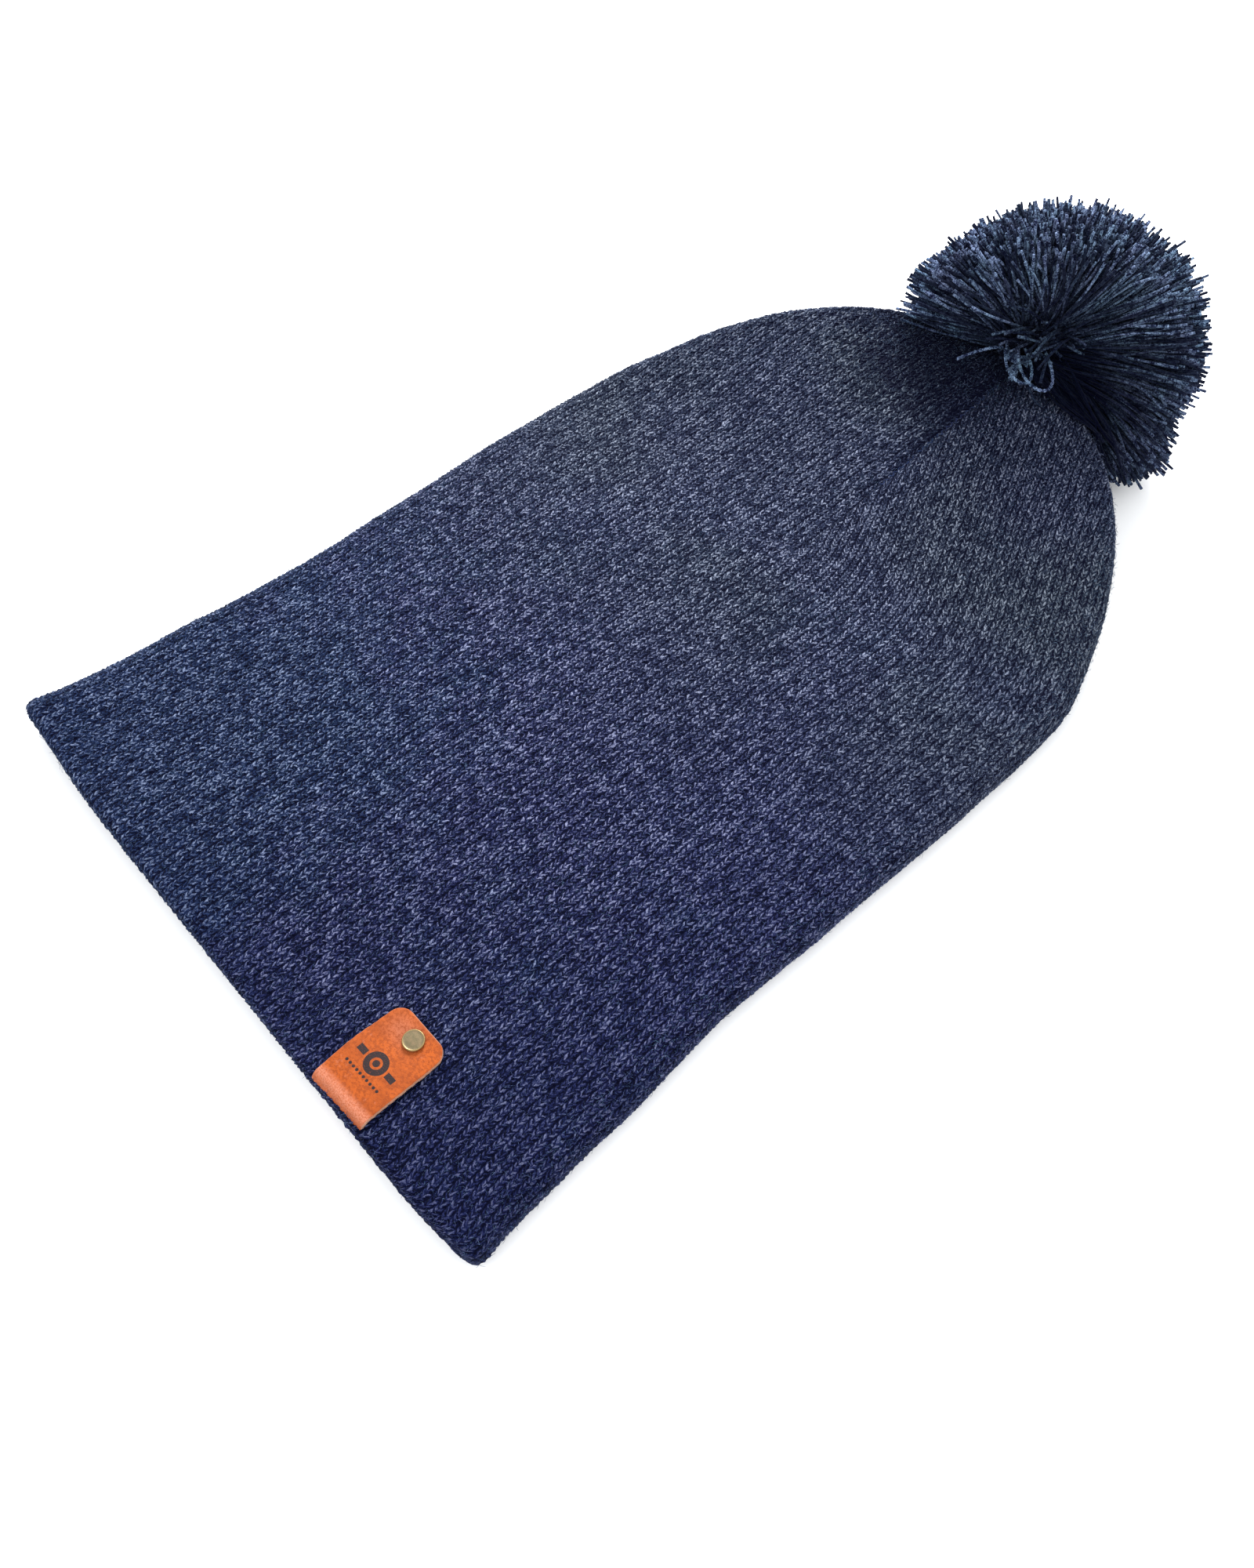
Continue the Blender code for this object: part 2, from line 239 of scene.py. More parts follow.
def tubes_object(name, paths, radii, sides, material, seed, lobes=0.0, twist=0.0, openness=1.0):
    """Many closed tubes as one mesh. Its "strand" attribute is the length along in millimetres, a random
    number, and the share of the length times the openness, which is how freely light reaches a point.
    """
    points, run = tube_points(paths, radii, sides, lobes, twist, seed)
    count, steps = paths.shape[:2]
    sizes, each = ring_faces(steps, sides, True)
    corners = each[None, :] + np.arange(count)[:, None] * (steps * sides)
    obj = add_mesh(name, points.reshape(-1, 3), np.tile(sizes, count), corners.ravel(), material)
    own = np.random.RandomState(seed + 7).uniform(0, 1, (count, 1))
    facts = xyz(run / MM, own, openness * run / run[:, -1:])
    set_attribute(obj, "strand", np.repeat(facts.reshape(-1, 3), sides, axis=0))
    return obj


def bezier(a, b, c, d, steps):
    """Points of many cubic curves at once, as (count, steps, 3)."""
    t = np.linspace(0, 1, steps)[None, :, None]
    a, b, c, d = (p[:, None, :] for p in (a, b, c, d))
    return a * (1 - t) ** 3 + 3 * b * t * (1 - t) ** 2 + 3 * c * t * t * (1 - t) + d * t ** 3


# ---- materials


class Output:
    """What a node gives. Between numbers, +, - and * add Math nodes."""

    def __init__(self, nodes, socket):
        self.nodes = nodes
        self.socket = socket

    def __add__(self, other):
        return self.nodes.math("ADD", self, other)

    def __sub__(self, other):
        return self.nodes.math("SUBTRACT", self, other)

    def __mul__(self, other):
        return self.nodes.math("MULTIPLY", self, other)


class Nodes:
    """A material's node tree, with short calls for the nodes used here."""

    def __init__(self, name):
        self.material = bpy.data.materials.new(name)
        self.material.use_nodes = True
        self.tree = self.material.node_tree
        self.shader = self.tree.nodes["Principled BSDF"]

    def feed(self, socket, value):
        """Links an Output to a socket, or sets the socket to a number, vector or colour."""
        if isinstance(value, Output):
            self.tree.links.new(value.socket, socket)
        else:
            socket.default_value = value

    def put(self, kind, **settings):
        node = self.tree.nodes.new(kind)
        for key, value in settings.items():
            setattr(node, key, value)
        return node

    def run(self, kind, output, inputs, **settings):
        """One output of a new node, whose inputs are given by name or place."""
        node = self.put(kind, **settings)
        for key, value in inputs.items():
            self.feed(node.inputs[key], value)
        return Output(self, node.outputs[output])

    def place(self):
        return self.run("ShaderNodeTexCoord", "Object", {})

    def attribute(self, name):
        return self.run("ShaderNodeAttribute", "Vector", {}, attribute_name=name)

    def split(self, vector):
        """The x, y and z of a vector."""
        node = self.put("ShaderNodeSeparateXYZ")
        self.feed(node.inputs[0], vector)
        return [Output(self, socket) for socket in node.outputs]

    def join(self, x, y, z=0.0):
        return self.run("ShaderNodeCombineXYZ", 0, {"X": x, "Y": y, "Z": z})

    def math(self, operation, a, b=0.0):
        return self.run("ShaderNodeMath", 0, {0: a, 1: b}, operation=operation)

    def distance(self, vector, point):
        return self.run("ShaderNodeVectorMath", "Value", {0: vector, 1: point}, operation="DISTANCE")

    def stretch(self, vector, scale, shift=(0.0, 0.0, 0.0)):
        return self.run("ShaderNodeMapping", 0, {"Vector": vector, "Scale": scale, "Location": shift})

    def noise(self, vector, scale, detail, roughness=0.5):
        inputs = {"Vector": vector, "Scale": scale, "Detail": detail, "Roughness": roughness}
        return self.run("ShaderNodeTexNoise", "Fac", inputs)

    def ramp(self, value, low, high, bottom=0.0, top=1.0):
        """value from low to high, smoothly made into bottom to top."""
        inputs = dict(enumerate((value, low, high, bottom, top)))
        return self.run("ShaderNodeMapRange", 0, inputs, interpolation_type="SMOOTHSTEP")

    def band(self, value, centre, half, soft):
        """1 where value is within half of centre, falling to 0 over the softness."""
        off = self.math("ABSOLUTE", value - centre)
        return self.ramp(off, half - soft, half + soft, 1.0, 0.0)

    def most(self, a, b):
        return self.math("MAXIMUM", a, b)

    def mix(self, share, a, b):
        """Colour a turned into colour b by the share."""
        node = self.put("ShaderNodeMix", data_type="RGBA")
        self.feed(node.inputs["Factor"], share)
        colours = [socket for socket in node.inputs if socket.type == "RGBA"]
        self.feed(colours[0], a)
        self.feed(colours[1], b)
        return Output(self, [socket for socket in node.outputs if socket.type == "RGBA"][0])

    def surface(self, **inputs):
        """Feeds the shader's inputs, whose names have _ for each space here."""
        for name, value in inputs.items():
            self.feed(self.shader.inputs[name.replace("_", " ")], value)

    def bump(self, height, distance, strength):
        inputs = {"Height": height, "Distance": distance, "Strength": strength}
        self.surface(Normal=self.run("ShaderNodeBump", 0, inputs))


# The yarn's colours: its ground, its pale flecks, and the darks that paint shade into the knit's gaps and the
# pom's strands, partly also the yarn's own darkest tone.
NAVY_TEAL = (0.0078, 0.0185, 0.0610, 1)
NAVY_PURPLE = (0.0125, 0.0160, 0.0640, 1)
NAVY_GREY = (0.0200, 0.0280, 0.0440, 1)
# painted shade: the navy that the ground darkens to towards the brim's right corner
NAVY_PAINTED_SHADE = (0.0010, 0.0045, 0.0380, 1)
KNIT_FLECKS = (0.216, 0.262, 0.386, 1), (0.236, 0.250, 0.386, 1)
GREY_FLECKS = (0.246, 0.280, 0.335, 1)
YARN_FLECKS = (0.140, 0.264, 0.390, 1), (0.196, 0.250, 0.455, 1)
KNIT_SHADE = (0.0002, 0.0005, 0.0072, 1)
DARKEST = (0.0, 0.0003, 0.0055, 1)
YARN_SHEEN = {"Sheen_Roughness": 0.45, "Sheen_Tint": (0.55, 0.65, 1.0, 1)}
# Places on the hat, from the frame's origin: its left brim corner, and the middle of its crest drawn short.
LEFT_BRIM = (-0.09, -0.17, 0.01)
CREST = (-0.025, 0.0036, 0.0)


def heather(n, place, flecks, lean, grey_share=1.0):
    """The yarn's ground and fleck colours: navy that drifts in soft patches from teal to purple, more so
    with the lean, and to grey towards the crown, and painted shade that darkens the ground towards the brim's
    right corner.
    """
    wide = n.noise(place, 12.0, 1.0)
    patch = n.noise(place, 62.0, 3.0, 0.65)
    purple = n.ramp(wide * 0.25 + patch * 0.40 + lean, 0.37, 0.58)
    blue = n.mix(purple, NAVY_TEAL, NAVY_PURPLE)
    cloud = n.noise(n.stretch(place, (1, 1, 1), (3, 1, 2)), 14.0, 1.0)
    towards_crown = n.ramp(n.split(place)[1], -0.10, 0.06, 0.05, 0.98)
    grey = towards_crown * n.ramp(cloud, 0.35, 0.6, 0.6, 1.0) * grey_share
    # painted shade: the ground darkens towards the brim's right corner
    ground = n.mix(painted_corner_shade(n, place) * 0.6, n.mix(grey, blue, NAVY_GREY), NAVY_PAINTED_SHADE)
    return ground, n.mix(grey, n.mix(purple, *flecks), GREY_FLECKS)


def painted_corner_shade(n, place):
    """Painted shade: 0 to 1 towards the brim's right corner, where the knit is drawn darker."""
    x, y, _ = n.split(place)
    return n.ramp(x * 0.6 - y * 0.8, 0.06, 0.23)


def painted_pom_shadow(n, place):
    """A painted shadow of the pom on the crown: 1 at the pom's left, where the crown lies under the strands
    and little light gets in, and 0 away from it.
    """
    pom_shadow_at = (POM_NECK[0] - 24 * MM, POM_NECK[1] + BRIM_Y - 2.5 * MM, 28 * MM)
    return n.ramp(n.distance(place, pom_shadow_at), 12 * MM, 44 * MM, 1.0, 0.0)


def dart_shade(n, place):
    """How much darker the knit is in the crease where the crown's upper dart is sewn."""
    x, y, _ = n.split(place)
    crease = n.band(x, SEAM_X - 0.8 * MM, 2.0 * MM, 2.0 * MM)
    along = n.ramp(y, SEAM_FROM + BRIM_Y - 0.01, SEAM_TO + BRIM_Y - 0.03, 0.0, 0.13)
    return crease * along


def lit_share(n, place):
    """Painted light and shade on the knit: the pale flecks are lightest along the crest of its upper face,
    and in painted shade towards the right fold and the hem.
    """
    x, y, _ = n.split(place)
    crest = n.ramp(n.distance(n.stretch(place, (1.0, 0.72, 0.0)), CREST), 0.02, 0.115, 1.0, 0.82)
    right = n.ramp(x, 0.045, 0.095, 1.0, 0.74)
    crown = n.ramp(y, 0.04, 0.09, 1.0, 0.90)
    hem = n.ramp(y, -0.186, -0.160, 0.78, 1.0)
    return (crest * right) * (crown * hem)


def stitch_nodes(n):
    """The knit's legs, worked out at every point from the "knit" attribute: (height, the leg's own tone,
    coordinates along the leg).
    """
    wales, courses, _ = n.split(n.attribute("knit"))
    wander = n.noise(n.place(), 620.0, 2.0, 0.6)
    drift = n.noise(n.stretch(n.place(), (1, 1, 1), (2, 5, 1)), 620.0, 2.0, 0.6)
    wales = wales + (wander - 0.5) * 0.5
    courses = courses + (drift - 0.5) * 1.3
    place = n.math("FRACT", wales) * 2.0 - 1.0
    spread = n.math("ABSOLUTE", place)
    phase = courses - spread * LEG_RISE
    leg = n.math("SINE", n.math("FRACT", phase) * math.pi)
    groove = n.ramp(spread, 0.60, 1.0, 1.0, 0.0)
    middle = n.ramp(spread, 0.0, 0.20, 0.55, 1.0)
    height = n.math("POWER", leg, 0.9) * groove * middle
    right_leg = n.math("GREATER_THAN", place, 0.0)
    own_leg = n.join(n.math("FLOOR", wales), n.math("FLOOR", phase), right_leg)
    tone = n.run("ShaderNodeTexWhiteNoise", "Value", {"Vector": own_leg})
    return height, tone, n.join(phase, wales)


def knit_material(name, flecks=1.0):
    """Knitted heather yarn: slanting legs with painted shade in their gaps, each leg in its own tone and
    streaked with pale fibres, with painted light along the crest and painted shade beside the pom, in the
    dart's crease, towards the right fold, the hem and the brim's right corner.
    """
    n = Nodes(name)
    place = n.place()
    height, tone, strand = stitch_nodes(n)
    inland = n.ramp(n.distance(place, LEFT_BRIM), 0.02, 0.15, 0.02, 0.24)
    ground, fleck = heather(n, place, KNIT_FLECKS, inland)
    streaks = n.noise(n.stretch(strand, (2.8, 2.2, 0.0)), 1.0, 3.0, 0.7)
    fibres = n.noise(place, 1900.0, 2.0, 0.6)
    clumps = n.noise(place, 260.0, 2.0, 0.6)
    worn = streaks * 0.50 + fibres * 0.34 + clumps * 0.16
    pom_shadow_at = painted_pom_shadow(n, place)
    # the relief share paints light on the leg tops and shade in the gaps; the tone and fibre shares are the
    # yarn's own flecks and darks
    value = height * 0.44 + tone * 0.26 + (worn - 0.5) * 2.1
    # painted shadow of the pom, and painted shade in the dart's crease
    value = value - pom_shadow_at * 0.22 - dart_shade(n, place)
    # painted shade: fewer pale flecks towards the brim's right corner
    light = n.ramp(value, 0.42, 0.88, 0.0, flecks) * n.ramp(painted_corner_shade(n, place), 0.0, 1.0, 1.0, 0.60)
    dark = n.ramp(value, 0.15, 0.54, 0.99, 0.0)
    colour = n.mix(light * lit_share(n, place), ground, fleck)
    colour = n.mix(dark, colour, KNIT_SHADE)
    n.surface(Base_Color=n.mix(pom_shadow_at * 0.10, colour, KNIT_SHADE), Roughness=0.92)
    n.surface(Specular_IOR_Level=0.06, Sheen_Weight=0.06, **YARN_SHEEN)
    n.bump(height + worn * 0.8, 0.3 * MM, 0.7)
    return n.material


def yarn_material(name, lightness, shade=0.0, root_shade=0.0):
    """Loose plied yarn: flecked along the strand, with painted shade towards the root and where little light
    reaches, and some whole strands in painted shade.
    """
    n = Nodes(name)
    strand = n.attribute("strand")
    _, own, light_reach = n.split(strand)
    ground, fleck = heather(n, n.stretch(n.place(), (1.4, 1.4, 1.4)), YARN_FLECKS, 0.14, 0.3)
    along = n.noise(n.stretch(strand, (0.45, 41.0, 0.0)), 1.0, 4.0, 0.75)
    fine = n.noise(n.place(), 2100.0, 2.0, 0.6)
    tone = along * 0.5 + fine * 0.5
    light = n.ramp(tone, 0.43, 0.64, 0.0, lightness) * n.ramp(own, 0.15, 0.85, 0.45, 1.0)
    dark = n.ramp(tone, 0.37, 0.51, 0.95, 0.0)
    # painted shade towards the root and where little light reaches
    root = n.ramp(light_reach, 0.10, 0.94, root_shade, 0.0)
    shaded = n.ramp(own, 0.30, 0.75, shade, 0.0)
    colour = n.mix(light, ground, fleck)
    colour = n.mix(dark, colour, DARKEST)
    n.surface(Base_Color=n.mix(n.most(root, shaded), colour, DARKEST), Roughness=0.9)
    n.surface(Specular_IOR_Level=0.04, Sheen_Weight=0.03, **YARN_SHEEN)
    n.bump(fine, 0.2 * MM, 0.7)
    return n.material


LEATHER = (0.365, 0.072, 0.0085, 1)
LEATHER_DARK = (0.200, 0.036, 0.0050, 1)
# the colour of worn leather, also used for painted highlights
LEATHER_WORN_AND_HIGHLIT = (0.450, 0.160, 0.092, 1)
LEATHER_CUT = (0.400, 0.235, 0.165, 1)
INK = (0.020, 0.012, 0.013, 1)
DULL_BRASS = (0.120, 0.115, 0.062, 1), (0.215, 0.145, 0.085, 1)
GOLDEN_BRASS = (0.310, 0.225, 0.095, 1), (0.230, 0.150, 0.060, 1)


def emblem_mask(n, across, along):
    """A plain generic mark in millimetres on the tag: a ring with a dot between two dashes, over a row
    of dots.
    """
    down = along - EMBLEM_ALONG
    left = across + 0.6
    distance = n.math("SQRT", left * left + down * down)
    ring = n.band(distance, 2.55, 0.85, 0.10)
    dot = n.ramp(distance, 0.90, 1.10, 1.0, 0.0)
    aside = n.math("ABSOLUTE", left)
    dash = n.band(aside, 5.5, 1.45, 0.08) * n.band(down, 0.0, 0.95, 0.08)
    beads = (n.math("FRACT", left * 0.75) - 0.5) * 1.333
    bead = n.math("SQRT", n.math("POWER", beads, 2.0) + n.math("POWER", down + 4.6, 2.0))
    row = n.ramp(bead, 0.36, 0.52, 1.0, 0.0) * n.math("LESS_THAN", aside, 6.66)
    return n.most(n.most(ring, dot), n.most(dash, row))


def leather_material():
    """Waxed hide with a fine grain, worn pale over the fold with a painted highlight there too, a painted
    highlight round the rivet, and raw cut edges.
    """
    n = Nodes("tag_leather")
    place = n.place()
    across, along, edge = n.split(n.attribute("strap"))
    cloud = n.noise(place, 150.0, 3.0, 0.6)
    grain = n.noise(place, 2600.0, 3.0, 0.65)
    mottle = n.noise(place, 1100.0, 3.0, 0.7)
    streaks = n.noise(n.stretch(place, (1, 1, 1), (7, 2, 1)), 420.0, 3.0, 0.7)
    cells = {"Vector": place, "Scale": 2100.0}
    pores = n.run("ShaderNodeTexVoronoi", "Distance", cells, feature="DISTANCE_TO_EDGE")
    hide = n.mix(n.ramp(cloud, 0.35, 0.68, 0.0, 0.6), LEATHER, LEATHER_DARK)
    hide = n.mix(n.ramp(mottle, 0.38, 0.58, 0.75, 0.0), hide, LEATHER_DARK)
    # wear over the fold, with a painted highlight just above its edge
    fold_wear_and_highlight = n.band(along, 3.1, 1.3, 1.2) * n.ramp(grain, 0.36, 0.60, 0.35, 1.0)
    scuffs_and_highlight = n.ramp(streaks, 0.60, 0.74, 0.0, 0.30)
    # painted highlight round the rivet, towards the tag's top corner
    painted_highlight = n.band(along, 25.2, 3.2, 3.0) * n.band(across, -2.6, 4.4, 4.2)
    scuffs_and_highlight = n.most(scuffs_and_highlight, painted_highlight * n.ramp(mottle, 0.35, 0.60, 0.10, 0.45))
    # real wear and scuffed streaks, and the painted highlights over the fold and round the rivet
    hide = n.mix(n.most(fold_wear_and_highlight, scuffs_and_highlight), hide, LEATHER_WORN_AND_HIGHLIT)
    hide = n.mix(n.ramp(edge, 0.25, 0.95, 0.0, 0.85), hide, LEATHER_CUT)
    faded = emblem_mask(n, across, along) * n.ramp(grain, 0.28, 0.44, 0.70, 1.0)
    front = n.math("GREATER_THAN", along, 4.0)
    n.surface(Base_Color=n.mix(faded * front, hide, INK), Specular_IOR_Level=0.14)
    n.surface(Roughness=n.ramp(cloud, 0.3, 0.7, 0.46, 0.60))
    n.bump(pores * 0.6 + grain * 0.6, 0.12 * MM, 0.8)
    return n.material


def brass_material():
    """Antique brass: greenish and dull where it is worn flat, golden on its rim."""
    n = Nodes("rivet_brass")
    place = n.place()
    reach = n.distance(n.stretch(place, (1, 1, 0)), (RIVET_X, RIVET_Y + BRIM_Y, 0.0))
    tarnish = n.noise(place, 900.0, 3.0, 0.6)
    rim = n.ramp(reach, 2.50 * MM, 2.85 * MM)
    brass = n.mix(rim, n.mix(tarnish, *DULL_BRASS), n.mix(tarnish, *GOLDEN_BRASS))
    n.surface(Base_Color=brass, Roughness=n.ramp(tarnish, 0.3, 0.7, 0.30, 0.46), Metallic=0.85)
    n.bump(n.noise(place, 3000.0, 2.0), 0.04 * MM, 0.5)
    return n.material


# ---- the hat's form


def cap_rise(y):
    return CROWN_LIFT * ease(y, LIFT_START, LIFT_END)


def half_width(y, inset=0.0):
    width = BRIM_HALF_WIDTH + (WAIST_HALF_WIDTH - BRIM_HALF_WIDTH) * ease(y, 0.0, WAIST_START)
    width = width + (CHEST_HALF_WIDTH - WAIST_HALF_WIDTH) * ease(y, WAIST_END, CHEST_AT) - inset
    width = width + DART_BULGE * bell(y, DART_Y, DART_REACH)
    corner = np.clip(BRIM_CORNER - y, 0.0, BRIM_CORNER)
    width = width - (BRIM_CORNER - np.sqrt(BRIM_CORNER ** 2 - corner ** 2))
    t = np.maximum((y - CROWN_START) / (CROWN_SPAN - inset), 0.0)
    return width * np.sqrt(np.maximum(1 - t * t, 0.0))


def half_height(y, inset=0.0):
    height = HALF_THICKNESS - inset
    t = np.maximum((y - (CAP_LENGTH - HALF_THICKNESS)) / height, 0.0)
    return height * np.sqrt(np.maximum(1 - t * t, 0.0))


def seam_x(y):
    return SEAM_X + SEAM_DRIFT * ease(y, SEAM_FROM, SEAM_TO)


def settle(points):
    """The way this soft hat lies: a lifted left brim corner, uneven side folds and slow waves in its upper
    face.
    """
    x, y, z = points[..., 0], points[..., 1], points[..., 2]
    left, right = ease(-x, 0.05, 0.105), ease(x, 0.05, 0.105)
    corner = bell(x, -0.1085, 0.017) * bell(y, 0, 0.022)
    waist = ease(y, 0.045, 0.085) * (1 - ease(y, 0.15, 0.19))
    dip = bell(y, 0.088, 0.013)
    ripple = 0.35 * MM * soft_noise(y, y * 0, 0.014, 11)
    top = ease(z - cap_rise(y), 0.004, 0.010)
    calm = 1 - bell(x, TAG_X, 0.016) * bell(y, 0, 0.035)
    wave = 0.45 * MM * soft_noise(x, y, 0.045, 12) + 0.22 * MM * soft_noise(x, y, 0.017, 13)
    flare = bell(y, 0, 0.007)
    left_tuck = 1.6 * MM * bell(y, 0.020, 0.026) * (1 - 0.7 * flare)
    right_tuck = 1.4 * MM * bell(y, 0.022, 0.028) * (1 - 0.9 * flare)
    left_in = left * (0.9 * MM * waist + left_tuck + ripple)
    right_in = right * (0.8 * MM * dip + right_tuck + ripple)
    left_brim = 2.5 * MM * bell(x, -BRIM_HALF_WIDTH, 0.028) * bell(y, 0, 0.030)
    right_brim = 1.8 * MM * bell(x, BRIM_HALF_WIDTH, 0.016) * bell(y, 0, 0.030)
    lift = 2.4 * MM * corner + top * calm * (wave - 0.3 * MM)
    return xyz(x + left_in - right_in, y + left_brim + right_brim, z + lift)


class Ring:
    """The columns of a flattened tube: the upper face, the right fold, the under face and the left fold.
    past_flat is the angle a column has turned past the nearest flat face.
    """

    def __init__(self, upper, fold, under):
        edge = np.linspace(-1, 1, upper, endpoint=False)
        back = np.linspace(1, -1, under, endpoint=False)
        turn = np.linspace(math.pi / 2, -math.pi / 2, fold, endpoint=False)
        up = math.pi / 2
        self.flat = np.concatenate([edge, np.ones(fold), back, -np.ones(fold)])
        self.angle = np.concatenate([np.full(upper, up), turn, np.full(under, -up), turn - math.pi])
        self.on_top = np.sin(self.angle) > 0
        past = np.concatenate([np.zeros(upper), up - turn, np.zeros(under), up + turn])
        self.past_flat = np.where(past > up, math.pi - past, past)

    def points(self, y, inset):
        """The grid for rows at y with inset: (points, signed length from the middle of the face)."""
        y, inset = y[:, None], inset[:, None]
        height = half_height(y, inset)
        width = np.maximum(half_width(y, inset) - height, 0.0)
        x = self.flat * width + np.cos(self.angle) * height
        z = np.sin(self.angle) * height + HALF_THICKNESS + cap_rise(y)
        side = np.sign(self.flat + 1e-9)
        length = self.flat * width + side * self.past_flat * height
        return xyz(x, y, z), length


def quarter_length(y):
    return half_width(y) - HALF_THICKNESS + HALF_THICKNESS * math.pi / 2


def stitch_map(length, y, run):
    """The knit's own coordinates, in wales and courses, at a length from the face's middle and a run from
    the brim's edge.
    """
    pitch = quarter_length(np.minimum(y, CROWN_START)) / WALES_PER_QUARTER
    crown = np.maximum(y - CROWN_START, 0.0)
    bend = ease(y, CROWN_START, CROWN_START + LEAN_GROWS)
    pulled = np.where(y < CROWN_START + LEAN_GROWS, crown * bend / 2, crown - LEAN_GROWS / 2)
    right = length > seam_x(y)
    lean = np.where(right, RIGHT_LEAN, -LEFT_LEAN)
    across = length + lean * pulled
    slant = 0.5 * lean * bend * (length - np.where(right, 0.05, -0.05))
    wales = across / pitch + np.where(right, 0.5, 0.0) * ease(y, SEAM_FROM, SEAM_FROM + 0.01)
    courses = (run - slant) / COURSE
    wales = wales + 0.13 * soft_noise(length, y, 0.006, 21) + 0.30 * soft_noise(length, y, 0.028, 22)
    courses = courses + 0.16 * soft_noise(length, y, 0.0055, 23) + 0.5 * soft_noise(length, y, 0.03, 24)
    return wales, courses


def stitches(wales, courses, seed):
    """Relief of a plain knit face from 0 to about 1. Its stitches are pairs of slanting legs."""
    shades = np.random.RandomState(seed).uniform(-1, 1, (512, 1024))
    wale = np.floor(wales)
    place = 2 * (wales - wale) - 1
    spread = np.abs(place)
    phase = courses - LEG_RISE * spread
    course = np.floor(phase)
    row = (course.astype(int) * 2 + (place > 0)) % 1024
    own = shades[wale.astype(int) % 512, row]
    leg = np.sin(math.pi * (phase - course))
    middle = ease(spread, 0.0, 0.18) * 0.4 + 0.6
    groove = 1 - 0.95 * ease(spread, 0.62, 1.0)
    relief = (0.2 + 0.8 * leg) * middle * groove * (1 + 0.25 * own)
    return np.clip(relief, 0.0, 1.2)


def surface_normals(grid):
    side = np.roll(grid, -1, axis=1) - np.roll(grid, 1, axis=1)
    return unit(np.cross(side, np.gradient(grid, axis=0)))


def seam_valley(grid):
    """How far the surface sinks where the crown's darts are sewn: on both faces and on both folds."""
    x, y = grid[..., 0], grid[..., 1]
    along = ease(y, SEAM_FROM, SEAM_FROM + 0.02)
    middle = bell(x, seam_x(y), 1.3 * MM)
    pucker = 0.8 * ease(y, SEAM_FROM, SEAM_TO) * bell(x, seam_x(y), 7 * MM)
    fold = bell(half_width(y) - np.abs(x), 0, 1.2 * MM) * 0.6
    return along * (middle + pucker + fold)


def knit_grid(ring, y, inset, run, depth, seed):
    """A tube of knit: its points, and each point's relief and yarn coordinates."""
    base, length = ring.points(y, inset)
    rows = np.broadcast_to(y[:, None], length.shape)
    wales, courses = stitch_map(length, rows, np.broadcast_to(run[:, None], length.shape))
    relief = stitches(wales, courses, seed)
    settled = settle(base)
    normal = surface_normals(settled)
    fuzz = 0.10 * soft_noise(length, rows, 0.7 * MM, seed + 5)
    lift = depth * (relief - 0.75 + fuzz) - 0.75 * MM * seam_valley(base)
    points = settled + normal * lift[..., None]
    points[..., 2] = np.maximum(points[..., 2], 0.05 * MM)
    return points, normal, xyz(wales, courses, 0.0)


# ---- the hat's pieces


def hem_rows():
    """Rows round the folded hem, from the inner face out: y, inset and the run along the knit."""
    angle = np.linspace(0.35, math.pi, int(14 * DETAIL) + 2)
    y = HEM_RADIUS * (1 - np.sin(angle))
    inset = HEM_RADIUS * (1 + np.cos(angle))
    return y, inset, HEM_RADIUS * (angle - math.pi)


def shell_rows():
    hem_y, hem_inset, hem_run = hem_rows()
    nose = CAP_LENGTH - HALF_THICKNESS
    body = np.arange(HEM_RADIUS + 0.4 * MM, nose, 0.40 * MM / DETAIL)
    tip = nose + HALF_THICKNESS * np.sin(np.linspace(0.08, 0.985, 14) * math.pi / 2)
    y = np.concatenate([hem_y, body, tip])
    inset = np.concatenate([hem_inset, np.zeros(len(body) + len(tip))])
    run = np.concatenate([hem_run, body - HEM_RADIUS, tip - HEM_RADIUS])
    return y, inset, run


def make_shell(material):
    ring = Ring(int(580 * DETAIL), int(28 * DETAIL), int(300 * DETAIL))
    points, normal, knit = knit_grid(ring, *shell_rows(), STITCH_DEPTH, 31)
    shell = tube_object("knit_shell_fabric", points[:, ::-1], material)
    set_attribute(shell, "knit", knit[:, ::-1])
    dress(shell, "hat", "knit_shell")
    return points, normal, ring


def make_lining(material):
    """The inner layer: its face lines the pocket, and its own edge tucks under the hem."""
    ring = Ring(int(300 * DETAIL), int(14 * DETAIL), int(300 * DETAIL))
    near = np.arange(0.6 * MM, 0.07, 0.6 * MM / DETAIL)
    deep = np.linspace(0.072, CAP_LENGTH - 0.006, 60)
    y = np.concatenate([near, deep])
    inset = np.full(len(y), WALL) + 0.25 * MM * ease(y, 0.0, 0.004)
    points, _, knit = knit_grid(ring, y, inset, -y, -0.8 * STITCH_DEPTH, 41)
    lining = tube_object("knit_lining_fabric", points, material)
    set_attribute(lining, "knit", knit)
    dress(lining, "hat", "knit_lining")


def sliver_paths(root, out, along, rnd):
    """Loose fibre ends that start at root, run along a surface and stand off it."""
    count = len(root)
    along = unit(along - out * np.sum(along * out, axis=1, keepdims=True))
    side = np.cross(out, along)
    reach = rnd.uniform(0.7, 2.1, (count, 1)) * MM
    lift = rnd.uniform(0.08, 0.5, (count, 1)) * reach
    bow = rnd.normal(0, 0.3, (count, 1)) * reach
    first = root + out * lift * 0.9 + along * reach * 0.3 + side * bow * 0.5
    second = root + out * lift * 1.1 + along * reach * 0.7 + side * bow
    last = root + out * lift * rnd.uniform(0.4, 1.5, (count, 1)) + along * reach + side * bow * 0.6
    return bezier(root - out * 0.1 * MM, first, second, last, 5)


